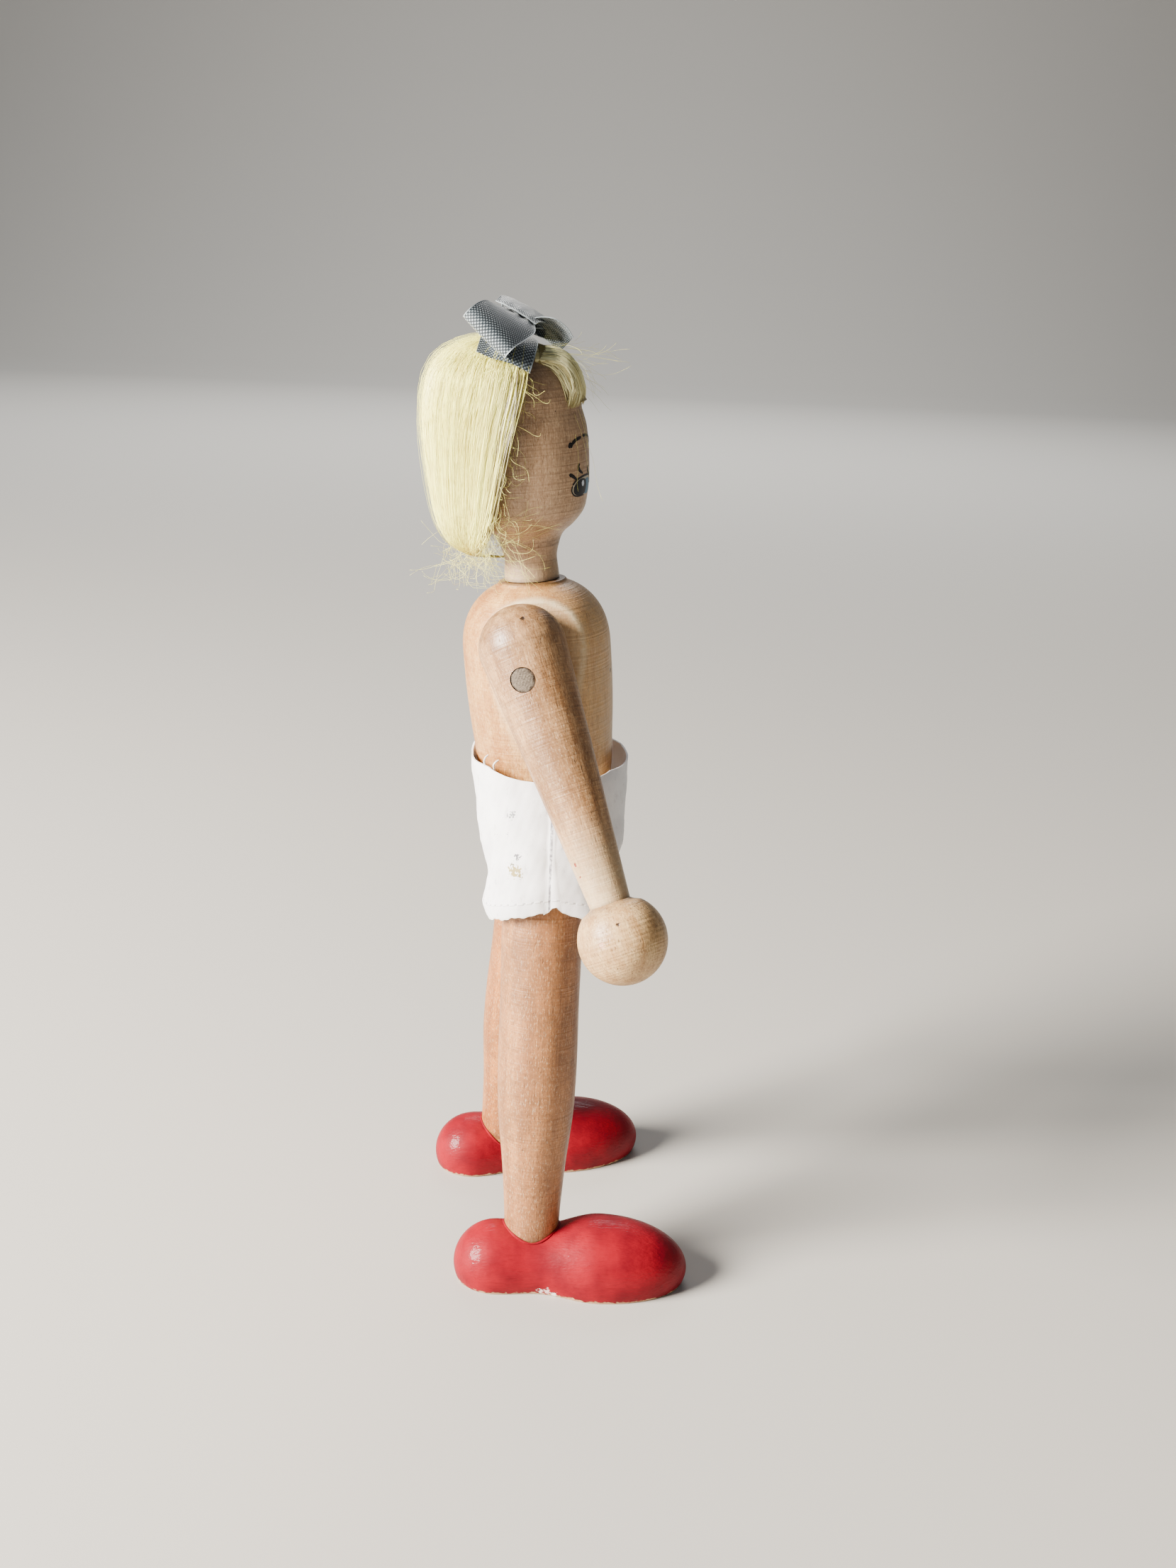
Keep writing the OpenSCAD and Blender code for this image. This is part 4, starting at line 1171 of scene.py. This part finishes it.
def stray_hairs(draw):
    """All the loose single hairs, each a thin three-sided rod, in one mesh."""
    hanging = [(9.0, 34, 15.0), (8.0, 35, 20.0), (-9.0, 35, 14.0), (10.5, 30, 12.0), (6.0, 35, 9.0)]
    paths = [nape_hair(draw) for _ in range(260)]
    paths += [hairline_hair(draw) for _ in range(210)]
    paths += [lifted_hair(draw) for _ in range(170)]
    paths += [crown_hair(draw) for _ in range(34)]
    paths += [cheek_hair(draw, across, h, length) for across, h, length in hanging]
    points, faces = [], []
    for path in paths:
        ahead = unit(np.gradient(path, axis=0))
        one = unit(np.cross(ahead, (0.3, 0.5, 0.81)))
        two = np.cross(ahead, one)
        rows = [len(points) + k * STRAY_STATIONS for k in range(3)]
        for k in range(3):
            turn = 2 * math.pi * k / 3
            points.extend(path + STRAY_R * (math.cos(turn) * one + math.sin(turn) * two))
            faces += between(rows[k], rows[(k + 1) % 3], STRAY_STATIONS)
        faces.append(tuple(rows))
        faces.append(tuple(row + STRAY_STATIONS - 1 for row in reversed(rows)))
    loose = new_piece("hair_loose_ends", points, faces, HEAD)
    tidy_shell(loose)
    even_tone(loose, 0.6)
    return loose


def make_hair():
    draw = np.random.default_rng(7)
    silk = mohair("mohair_strands", "#fbfb94", "#e2d775", "#75673a")
    straw = mohair("mohair_fringe", "#fbf6c0", "#ddd08e", "#6c5d36")
    # The underlay's darker mohair and low tones are painted shade in the gaps between the strands.
    shaded_underlay = mohair("mohair_underlay_shade", "#97853f", "#82713c", "#5f532b")
    wig = combed_strands(draw)
    join(wig, crossing_strands(draw))
    finished(wig, silk, "hair", "head", angle=60)
    finished(edge_strands(draw), silk, "hair", "head", angle=60)
    underlay("hair_bob", 0.5, bob_fitted, 0.4, shaded_underlay)
    finished(fringe_strands(draw), straw, "hair", "head", angle=60)
    underlay("hair_fringe", 0.3, fringe_fitted, 0.3, shaded_underlay)
    finished(stray_hairs(draw), silk, "hair", "head", angle=180)


# Ribbon bow


def clear_of_hair(points, gap):
    """Lifts points of the head's frame that are inside the wig or the fringe out to its surface."""
    fringe = [((DOME_R + FRINGE_T) * x, DOME_H + (DOME_RISE + FRINGE_T) * y) for x, y in arc(1, 0, 90, 40)]
    for line, centre in ((BOB_LINE, WIG_MIDDLE), (fringe, FRINGE_MIDDLE)):
        line = np.array(line) - (0, centre[2])
        table = sorted(zip(np.arctan2(line[:, 1], line[:, 0]), np.hypot(line[:, 0], line[:, 1])))
        away = points - centre
        flat = np.hypot(away[:, 0], away[:, 1])
        far = np.linalg.norm(away, axis=1)
        edge = np.interp(np.arctan2(away[:, 2], flat), *zip(*table)) + gap
        points = np.array(centre) + away * (np.maximum(far, edge) / far)[:, None]
    return points


def plain_weave(tree, spacing):
    """The cut cloth's two directions in millimetres, and its threads going over and under one another."""
    place = add(tree, "SeparateXYZ", add(tree, "TexCoord", out="UV")).node
    ways = place.outputs["X"], place.outputs["Y"]
    turns = [add(tree, "Math", way, 2 * math.pi / spacing, operation="MULTIPLY") for way in ways]
    waves = [add(tree, "Math", turn, operation="SINE") for turn in turns]
    return *ways, add(tree, "Math", *waves, operation="MULTIPLY")


def woven_ribbon():
    """Old rayon ribbon of plain weave, grey blue: each crossing of the threads is a small raised square,
    painted pale as its highlight, with painted shade for the hole beside it, and a pale cord along each edge.
    The crossings are drawn 0.54 mm apart from corner to corner, coarser than the real 0.4 mm, so that they
    show."""
    material, tree, shader = new_material("rayon_ribbon", 0.42, 0.45)
    lengthwise, crosswise, weave = plain_weave(tree, 0.76)
    from_middle = add(tree, "Math", crosswise, operation="ABSOLUTE")
    cord = add(tree, "MapRange", from_middle, RIBBON_W / 2 - 0.25, RIBBON_W / 2 - 0.1)
    cord = add(tree, "Math", cord, add(tree, "MapRange", lengthwise, 0.3, 0.16), operation="MAXIMUM")
    colour = layered(
        tree,
        "#333b41",
        (uneven(tree, in_mm(tree), 3.5), 0.35, 0.65, 1.0, "#464e54"),
        # Painted highlight on each raised crossing, and painted shade in the hole beside it.
        (weave, 0.1, 0.9, 0.85, "#b4bfc4"),
        (weave, -0.25, -0.9, 0.8, "#1b2024"),
        (cord, 0.0, 1.0, 1.0, "#9da7ac"),
    )
    tree.links.new(colour, shader["Base Color"])
    height = add(tree, "Math", weave, cord, operation="MAXIMUM")
    tree.links.new(add(tree, "Bump", 0.9, 0.00008, 1.0, height), shader["Normal"])
    shader["Sheen Weight"].default_value = 0.3
    shader["Sheen Roughness"].default_value = 0.35
    return material


def lay_flat(piece, flat):
    """Keeps where each point lies on the cut cloth before it is sewn, in millimetres, for the weave."""
    layer = piece.data.uv_layers.new(name="cut")
    for loop in piece.data.loops:
        layer.data[loop.index].uv = flat[loop.vertex_index]


def thicken(piece, thickness, offset=0.0):
    """Gives a sheet its thickness, in millimetres."""
    wall = piece.modifiers.new("thickness", "SOLIDIFY")
    wall.thickness = thickness * MM
    wall.offset = offset
    apply_modifier(piece, wall)


def ribbon(name, middle, across, halves, place, crown=0.0, pleats=0.0):
    """A ribbon along a line of points, gathered to each half width, with its weave laid out flat, and its
    length. The crown domes it across its width, and the pleats ripple it where it is gathered."""
    columns, thickness = 18, 0.16
    middle, halves = np.array(middle, float), np.array(halves, float)
    across = unit(np.broadcast_to(np.array(across, float), middle.shape))
    up = unit(np.cross(np.gradient(middle, axis=0), across))
    v = np.linspace(-1, 1, columns + 1)
    open_share = halves / (RIBBON_W / 2)
    wave = crown * (1 - v[None] ** 2) * open_share[:, None]
    wave = wave + pleats * np.clip(1 - open_share, 0, 1)[:, None] * np.cos(3.5 * math.pi * v)[None]
    aside, above = (halves[:, None] * v[None])[..., None], wave[..., None]
    points = middle[:, None] + across[:, None] * aside + up[:, None] * above
    in_head = carried(points.reshape(-1, 3), HEAD.inverted() @ place)
    piece = new_piece(name, clear_of_hair(in_head, 0.8), grid_faces(len(middle), columns + 1), HEAD)
    run = run_along(middle)
    lay_flat(piece, [(along_it, at * RIBBON_W / 2) for along_it in run for at in v])
    thicken(piece, thickness)
    return piece, run[-1]


def loop_place(side, turn, droop, pitch):
    at_knot = HEAD @ moved_by(0, KNOT_Y, KNOT_H) @ turned_by(-turn, "Z") @ side_of(side)
    return at_knot @ turned_by(droop, "Y") @ turned_by(pitch, "X")


def spread(from_knot, narrow, reach, wide=RIBBON_W / 2):
    """Half widths of a ribbon that is gathered at the knot and has opened out this far from it."""
    return narrow + (wide - narrow) * smoothly(from_knot / reach)


def near_loop():
    """The near loop, twisted at the knot, with the ribbon's cut end on the hair below it."""
    loop = [(0, 0, 1.5), (3, 0, 2.0), (8, 0, 2.2), (12.5, 0, 2.0), (14.9, 0, 1.2), (15.6, 0, 0.1)]
    loop += [(15.3, 0, -0.8), (14.2, 0, -1.2), (10, 0, -1.1), (5, 0, -0.8), (1.2, 0, -0.5)]
    line = np.array(flowing(loop, 5))
    twist = math.radians(-17) * (1 - smoothly(line[:, 0] / 12))
    across = np.stack([0 * twist, np.cos(twist), np.sin(twist)], -1)
    place = loop_place(-1, 31, 6, 47)
    halves = spread(line[:, 0], 3.6, 6)
    piece, length = ribbon("bow_loop_right_ribbon", line, across, halves, place, 0.25, 0.5)
    line = np.array(flowing([(1.2, 0, -0.9), (5, 0, -0.4), (10, 0, 0.1), (15.4, 0, 0.0)], 6))
    place = loop_place(-1, RIGHT_BACK, RIGHT_DROOP - 1, BOW_PITCH)
    end, end_length = ribbon("end", line, (0, 1, 0), spread(line[:, 0], 2.6, 7), place, 0.2, 0.4)
    join(piece, end)
    return piece, length + end_length


def far_loop():
    """The far loop, laid over the near one, with the strip that lies inside it."""
    loop = [(-2.2, 0, 1.9), (0, 0, 2.5), (4, 0, 2.6), (9, 0, 2.4), (13, 0, 1.5), (15.1, 0, 0.1)]
    loop += [(14.2, 0, -0.9), (10, 0, -1.0), (5, 0, -0.6), (1.2, 0, -0.3)]
    place = loop_place(1, LEFT_FORWARD, 2, BOW_PITCH - 2)
    line = np.array(flowing(loop, 5))
    halves = spread(line[:, 0] + 2, 4.6, 6)
    piece, length = ribbon("bow_loop_left_ribbon", line, (0, 1, 0), halves, place, 0.35, 0.3)
    line = np.array(flowing([(1.2, 0, 0.5), (5, 0, 1.1), (10, 0, 1.0), (13.4, 0, 0.3), (14.4, 0, -0.5)], 5))
    strip, strip_length = ribbon("inner", line, (0, 1, 0), spread(line[:, 0], 3.6, 7), place, 0.3, 0.3)
    join(piece, strip)
    return piece, length + strip_length


def hanging_tail():
    """The short tail that hangs forward from the knot."""
    line = [(0, -1.6, -0.4), (0.2, -4, 0.3), (0.5, -7, 0.0), (0.8, -9.6, -1.2), (1.0, -11.2, -2.8)]
    line = np.array(flowing(line, 6))
    place = HEAD @ moved_by(0, KNOT_Y, KNOT_H) @ turned_by(TAIL_DROOP, "X")
    halves = spread(-line[:, 1] - 1.5, 2.4, 6, 4.4)
    return ribbon("bow_tail_ribbon", line, (1, 0.1, -0.45), halves, place, 0.4, 0.4)


def tied_knot():
    """The turn of ribbon round the middle of the bow."""
    turns = np.linspace(0, 2 * math.pi, 41)
    line = np.stack([0 * turns, 2.2 * np.cos(turns), 1.5 * np.sin(turns)], -1)
    halves = 2.2 + 0.25 * np.sin(2 * turns)
    place = HEAD @ moved_by(0, KNOT_Y, KNOT_H)
    return ribbon("bow_knot_ribbon", line, (1, 0.12, 0), halves, place, 0.25, 0.2)


def make_bow():
    """Two wide loops laid over each other, a short tail and the knot."""
    rayon = woven_ribbon()
    made = []
    for node, made_ribbon in (
        ("bow_loop_right", near_loop()),
        ("bow_loop_left", far_loop()),
        ("bow_tail", hanging_tail()),
        ("bow_knot", tied_knot()),
    ):
        finished(made_ribbon[0], rayon, "ribbon", "head", node, angle=60)
        made.append(made_ribbon)
    return made


# Shorts


def squared_arc(angle):
    c, s = math.cos(angle), math.sin(angle)
    return np.array([math.copysign(abs(c) ** 0.8, c), abs(s) ** 0.8])


def panel_point(face, share, v):
    """A point of a shorts panel: share runs from the side seam to the middle, v from the hem to the waist."""
    w = HEM_HALF - (HEM_HALF - WAIST_HALF) * v**1.6
    d = FRONT_REACH if face < 0 else BACK_HEM_REACH + (BACK_REACH - BACK_HEM_REACH) * v**0.8
    d += FOLD_D * math.sin(6 * math.pi * share) * math.sin(math.pi * min(1, v * 1.2 + 0.1))
    leg_mid, ring_w = (w + CROTCH_HALF) / 2, (w - CROTCH_HALF) / 2
    height = WAIST_H + HEM_DROP
    t = min(1, max(0, (v - (HEM_DROP - CROTCH_DROP) / height) / 0.36))
    ring, wide = squared_arc(math.pi * share), squared_arc(math.pi / 2 * share)
    z = -HEM_DROP + height * v - WAIST_DIP * v**4 * (1 - min(1, 2 * share) ** 2)
    on_ring = np.array([leg_mid + ring_w * ring[0], face * d * ring[1], z])
    on_whole = np.array([w * wide[0], face * d * wide[1], z])
    return on_ring + (on_whole - on_ring) * t**0.8


def cloth_folds(p):
    """Small creases of washed cotton, the same where two panels meet."""
    x, y, z = p[:, 0], p[:, 1], p[:, 2]
    soft = np.sin(0.42 * x + 0.31 * y + 0.55 * z + 1.0) + 0.8 * np.sin(-0.6 * y + 0.5 * z + 0.35 * x + 2.2)
    creased = np.sin(1.1 * y - 0.7 * z + 0.5 * x + 0.4) * np.sin(0.45 * z + 0.25 * y + 1.1)
    fine = np.sin(2.3 * y + 1.6 * z + 1.2 * x) * np.sin(0.9 * z - 0.8 * y + 0.6)
    return 0.075 * soft + 0.09 * creased + 0.035 * fine


def cotton_cloth(spots):
    """Washed cotton lawn, off-white: threads 0.3 mm apart, grey rubbed scuffs on the creases, a topstitch
    near the hem and the frayed, slightly yellow cut edges. Painted shade darkens the gaps of the weave, the
    topstitch's needle holes and the side seam's groove."""
    material, tree, shader = new_material("cotton_lawn", 0.85, 0.25)
    across, up, weave = plain_weave(tree, 0.3)
    here = in_mm(tree)
    beat = add(tree, "Math", across, 2 * math.pi / STITCH_L, operation="MULTIPLY")
    beat = add(tree, "Math", beat, operation="SINE")
    off_row = add(tree, "Math", up, STITCH_UP, operation="SUBTRACT")
    off_row = add(tree, "Math", off_row, operation="ABSOLUTE")
    thread, row = add(tree, "MapRange", off_row, 0.28, 0.16), add(tree, "MapRange", off_row, 0.3, 0.1)
    raised, pierced = add(tree, "MapRange", beat, -0.6, -0.4), add(tree, "MapRange", beat, -0.6, -0.8)
    stitch = add(tree, "Math", thread, raised, operation="MULTIPLY")
    off_seam = add(tree, "Math", across, SEAM_IN, operation="SUBTRACT")
    off_seam = add(tree, "Math", off_seam, operation="ABSOLUTE")
    seam = add(tree, "MapRange", off_seam, 0.34, 0.16)
    puckered_seam_shade = add(tree, "MapRange", uneven(tree, here, (0.5, 0.5, 0.7)), 0.35, 0.6, 0.35, 0.9)
    colour = layered(
        tree,
        "#f9f8f8",
        (uneven(tree, here, 7.0), 0.35, 0.7, 1.0, "#eceaec"),
        (uneven(tree, here, (1.6, 1.6, 3.0), 5.0, 0.7), 0.6, 0.74, 0.55, "#a9a4a6"),
        (uneven(tree, here, (0.25, 0.25, 2.0), 2.0, 0.6), 0.6, 0.75, 0.3, "#c6c2c4"),
        # Painted shade in the gaps of the weave.
        (weave, -0.3, -1.0, 0.25, "#bdb9bb"),
        # Painted shade in the topstitch's needle holes.
        (add(tree, "Math", row, pierced, operation="MULTIPLY"), 0.0, 1.0, 0.6, "#8f8b8c"),
        # Painted shade along the side seam's groove, broken up by puckers.
        (add(tree, "Math", seam, puckered_seam_shade, operation="MULTIPLY"), 0.0, 1.0, 1.0, "#5f5b62"),
        (up, 0.5, 0.1, 0.5, "#cfc4ae"),
    )
    colour = spots_on(tree, colour, spots, 0.8)[0]
    tree.links.new(colour, shader["Base Color"])
    relief = add(tree, "Math", add(tree, "Math", weave, 0.35, operation="MULTIPLY"), stitch, operation="ADD")
    tree.links.new(add(tree, "Bump", 0.7, 0.00012, 1.0, relief), shader["Normal"])
    shader["Sheen Weight"].default_value = 0.15
    return material


def shorts_marks():
    """The scuffs and stains on the right side of the shorts, in the doll's frame."""
    marks = [
        (1, 0.2, 0.36, 1.35, "#a89867"),
        (1, 0.24, 0.4, 0.68, "#7f7a68"),
        (1, 0.15, 0.33, 0.60, "#94875c"),
        (1, 0.21, 0.46, 0.75, "#77767a"),
        (1, 0.25, 0.73, 0.83, "#86888a"),
        (1, 0.3, 0.6, 0.45, "#7d7d80"),
        (1, 0.42, 0.56, 0.52, "#747478"),
        (1, 0.44, 0.2, 0.33, "#6f6f72"),
        (1, 0.5, 0.82, 0.30, "#77777a"),
        (-1, 0.42, 0.74, 0.30, "#4c4a4c"),
    ]
    on_right = []
    for face, share, v, radius, code in marks:
        on_right.append((panel_point(face, share, v) * (-1, 1, 1), radius, code))
    return at_place(HIPS, on_right)


def shorts_panel(side, face, name):
    """One panel, left for side 1 and front for face -1, with its folds, side seam, notch and frayed hem."""
    rows, columns, height = 48, 96, 31
    places = [(j / columns, i / rows) for i in range(rows + 1) for j in range(columns + 1)]
    grid = np.array([panel_point(face, share, v) for share, v in places]).reshape(rows + 1, columns + 1, 3)
    out = unit(np.cross(np.gradient(grid, axis=1), np.gradient(grid, axis=0)) * -face)
    whole, outs = (part.reshape(-1, 3) * (side, 1, 1) for part in (grid, out))
    share, v = np.array(places).T
    beside = -face * share * 42 - SEAM_IN
    seam = 0.25 * near(beside, -0.7, 0.6) - 0.25 * near(beside, 0, 0.4)
    whole = whole + outs * (cloth_folds(whole) + seam)[:, None]
    frayed = np.exp(-v * height / 0.8) * (0.18 * np.sin(share * 47 + face) + 0.1 * np.sin(share * 131))
    notch = 1.3 * np.exp(-v * 30 / 1.4) * near(beside, 0, 0.6)
    lifted = np.interp(beside, (-16, 0, 6, 20), (-1.0, 2.9, 1.4, 1.2)) * near(v * 30, 0, 9)
    whole[:, 2] += frayed + notch + lifted
    faces = grid_faces(rows + 1, columns + 1)
    if side * face > 0:
        faces = [corners[::-1] for corners in faces]
    piece = new_piece(name, whole, faces, HIPS)
    widths = np.linalg.norm(np.diff(grid, axis=1), axis=-1)
    run = np.concatenate([np.zeros((rows + 1, 1)), np.cumsum(widths, 1)], 1)
    lay_flat(piece, np.stack([-face * run.ravel(), height * v], -1))
    return piece


def area_of(piece):
    return sum(p.area for p in piece.data.polygons) / MM**2


def make_shorts(cotton):
    made = []
    for side, face, name in (
        (-1, -1, "front_right"),
        (1, -1, "front_left"),
        (-1, 1, "back_right"),
        (1, 1, "back_left"),
    ):
        piece = shorts_panel(side, face, "shorts_" + name + "_cloth")
        flat_area = area_of(piece)
        thicken(piece, 0.38, -1.0)
        finished(piece, cotton, "cotton", None, "shorts_" + name, angle=60)
        made.append((piece, side, flat_area))
    return made


def make_threads(material):
    """Two ends of sewing thread at the back of the waist."""
    ends = []
    for path in (
        [(-11.6, 12.9, 15.2), (-12.1, 13.2, 16.4), (-12.5, 13.0, 17.4), (-12.3, 12.4, 18.0)],
        [(-13.2, 11.0, 15.0), (-13.7, 11.2, 16.2), (-14.0, 10.8, 17.0), (-13.8, 10.2, 17.4)],
    ):
        line = carried(flowing(path, 5), HIPS)
        ends.append(tube("waist_threads", line, 0.24 - 0.005 * np.arange(len(line))))
    join(*ends)
    finished(ends[0], material, "cotton", "torso")


def fasten_cloth(made, ribbons):
    """Bakes each shorts panel's place into its mesh; each ribbon's cut area is worked out but not used."""
    for piece, side, flat_area in made:
        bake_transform(piece)
    for piece, length in ribbons:
        flat_area = min(area_of(piece) / 2, RIBBON_W * length * 0.999)


# Face


def on_head(across, h, lift):
    """A point of the face: millimetres towards the ear from the face's middle line, and above the neck."""
    angle = across / 13.1
    r = head_radius(h) + lift
    return (-r * math.sin(angle), -r * math.cos(angle), h)


def filled(paint, side, outline, lift, colour):
    """A dab of paint inside an outline, a little thicker in its middle."""
    points, faces, colours = paint
    outline = even(flowing(outline + outline[:1], 6), 0.25)[:-1]
    middle = np.mean(outline, axis=0)
    first, rings, count = len(points), 5, len(outline)
    for k in range(rings):
        share = 1 - k / rings
        for p in outline:
            u, h = middle + (np.array(p) - middle) * share
            points.append(on_head(side * u, h, lift + PAINT_SWELL * (1 - share)))
    points.append(on_head(side * middle[0], middle[1], lift + PAINT_SWELL))
    for k in range(rings - 1):
        faces += between(first + k * count, first + (k + 1) * count, count, True)
    last = first + (rings - 1) * count
    faces += [(last + j, last + (j + 1) % count, len(points) - 1) for j in range(count)]
    colours += [linear(colour)] * (len(points) - first)


def stroke(paint, side, line, widths, lift, colour):
    """A brush stroke along a line, of changing width, rounded at both ends."""
    points, faces, colours = paint
    line = np.array(flowing(line, 6))
    run = run_along(line)
    stations = np.linspace(0, run[-1], max(6, int(run[-1] / 0.12)))
    line = np.stack([np.interp(stations, run, line[:, 0]), np.interp(stations, run, line[:, 1])], -1)
    ahead = np.gradient(line, axis=0)
    across = unit(np.stack([-ahead[:, 1], ahead[:, 0]], -1))
    half = np.interp(stations / run[-1], np.linspace(0, 1, len(widths)), widths) / 2
    from_end = np.minimum(stations, run[-1] - stations)
    half = half * np.sqrt(np.clip(from_end / np.maximum(half, 0.01), 0.04, 1))
    first = len(points)
    for p, c, w in zip(line, across, half):
        for k, swell in ((-1, 0), (0, PAINT_SWELL), (1, 0)):
            points.append(on_head(side * (p[0] + c[0] * w * k), p[1] + c[1] * w * k, lift + swell))
    for i in range(len(line) - 1):
        faces += between(first + 3 * i, first + 3 * i + 3, 3)
    colours += [linear(colour)] * (len(points) - first)


def face_paint():
    """Oil paint laid on by hand with a fine brush: thin, slightly raised and as satin as the wood."""
    material, tree, shader = new_material("oil_paint", 0.45, 0.3)
    colour = add(tree, "Attribute", attribute_name="paint", out="Color")
    mottle = uneven(tree, in_mm(tree), 0.4)
    colour = layered(tree, colour, (mottle, 0.4, 0.7, 0.25, "#1c1512"))
    tree.links.new(colour, shader["Base Color"])
    tree.links.new(add(tree, "Bump", 0.4, 0.00003, 1.0, mottle), shader["Normal"])
    return material


def eye_and_brow(paint, side):
    """One eye with its white, iris, pupil and glint, its lids and lashes, the brow in three parts and a
    nostril. Points are millimetres towards the ear and above the neck."""
    white = [(3.2, 18.9), (4, 20.1), (5.4, 20.7), (6.9, 20.8), (8.74, 20.75), (10.97, 20.3), (12.46, 19.3)]
    white += [(12.58, 18.3), (11.71, 17.5), (10.22, 17.2), (8.24, 17.2), (6.2, 17.2), (4.6, 17.4), (3.5, 18)]
    iris = [(4.3, 18.7), (4.8, 19.8), (5.9, 20.3), (7.5, 20.2), (8.61, 19.2)]
    iris += [(8.74, 18), (7.5, 17.3), (5.6, 17.2), (4.6, 17.8)]
    pupil = [(7, 18.8), (7.5, 20), (8.98, 20.5), (10.72, 20.2), (11.96, 19.2)]
    pupil += [(12.08, 18.1), (11.09, 17.4), (8.98, 17.2), (7.5, 17.6)]
    glint = [(8.3, 19.3), (8.5, 19.9), (9.0, 20.1), (9.4, 19.7), (9.2, 19.1), (8.7, 18.9)]
    upper_lid = [(3.1, 18.9), (4, 20.2), (5.4, 20.85), (7, 20.95)]
    upper_lid += [(9.23, 20.85), (11.22, 20.4), (12.58, 19.5)]
    lower_lid = [(12.58, 19.4), (12.7, 18.3), (11.84, 17.4), (10.22, 17.1), (7.99, 17.1)]
    outer_lash = [(13.57, 21.7), (12.58, 21.3), (11.34, 20.5)]
    middle_lash = [(10.22, 23.5), (10.72, 22.9), (10.22, 22.1), (8.98, 21.4)]
    inner_lash = [(5.9, 22.6), (6.5, 22), (5.8, 21.3), (4.2, 20.9)]
    brow_start = [(13.03, 26.8), (13.03, 27.2), (12.1, 27.6)]
    brow_rise = [(12.34, 27.5), (11.19, 28.2), (9.12, 28.55)]
    brow_end = [(8.5, 28.65), (7.2, 28.75), (4.7, 28.4), (3, 27.6), (2.7, 26.9)]
    nostril = [(0.9, 15.4), (1.25, 15.1)]
    black = "#120c0a"
    for outline, lift, colour in (
        (white, 0.02, "#b3a791"),
        (iris, 0.035, "#4f7690"),
        (pupil, 0.05, "#0b0e14"),
        (glint, 0.07, "#cdd4de"),
    ):
        filled(paint, side, outline, lift, colour)
    for line, widths, lift, colour in (
        (upper_lid, (0.2, 0.34, 0.4, 0.42), 0.06, black),
        (lower_lid, (0.35, 0.28, 0.18), 0.06, black),
        (outer_lash, (0.8, 0.7, 0.4), 0.06, black),
        (middle_lash, (0.4, 0.75, 0.6, 0.3), 0.06, black),
        (inner_lash, (0.35, 0.6, 0.5, 0.25), 0.06, black),
        (brow_start, (1.1, 1.2, 0.7), 0.05, black),
        (brow_rise, (0.75, 0.65, 0.5), 0.06, black),
        (brow_end, (0.5, 0.55, 0.45, 0.25), 0.06, black),
        (nostril, (0.25, 0.25), 0.05, "#7d3a2c"),
    ):
        stroke(paint, side, line, widths, lift, colour)


def make_face():
    paint = points, faces, colours = [], [], []
    for side in (1, -1):
        eye_and_brow(paint, side)
    upper_lip = [(-2.3, 12.3), (-1.3, 12.9), (-0.6, 13.1), (0, 12.8)]
    upper_lip += [(0.6, 13.1), (1.3, 12.9), (2.3, 12.3), (0, 12.1)]
    lower_lip = [(-1.7, 12.1), (0, 12.2), (1.7, 12.1), (1, 11.4), (0, 11.1), (-1.0, 11.4)]
    filled(paint, 1, upper_lip, 0.03, "#a02a22")
    filled(paint, 1, lower_lip, 0.03, "#b23a2e")
    face = new_piece("face_paint", points, faces, HEAD)
    tint(face, "paint", colours)
    turn_outwards(face)
    thicken(face, 0.05, -1.0)
    finished(face, face_paint(), "wood", "head", angle=60)


def turn_outwards(piece):
    """Turns the faces of a film on the head away from the head's axis."""
    mesh = bmesh.new()
    mesh.from_mesh(piece.data)
    back = HEAD.inverted()
    wrong = []
    for face in mesh.faces:
        here = back @ (face.calc_center_median() / MM)
        out = back.to_3x3() @ face.normal
        if out.x * here.x + out.y * here.y < 0:
            wrong.append(face)
    bmesh.ops.reverse_faces(mesh, faces=wrong)
    mesh.to_mesh(piece.data)
    mesh.free()


def wood_inner_pegs():
    """Bare birch on the two pegs that show from no side."""
    bare = old_birch("birch_peg", ("#cdb088", "#b8966a", "#97744a"), BODY)
    for name in ("hip_peg", "neck_peg"):
        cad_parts[name].data.materials.clear()
        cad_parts[name].data.materials.append(bare)


make_camera()
make_floor()
light_room()
make_torso()
make_head()
make_arms()
make_legs()
make_hair()
bow = make_bow()
cotton = cotton_cloth(shorts_marks())
shorts = make_shorts(cotton)
make_face()
make_threads(cotton)
fasten_cloth(shorts, bow)
wood_inner_pegs()
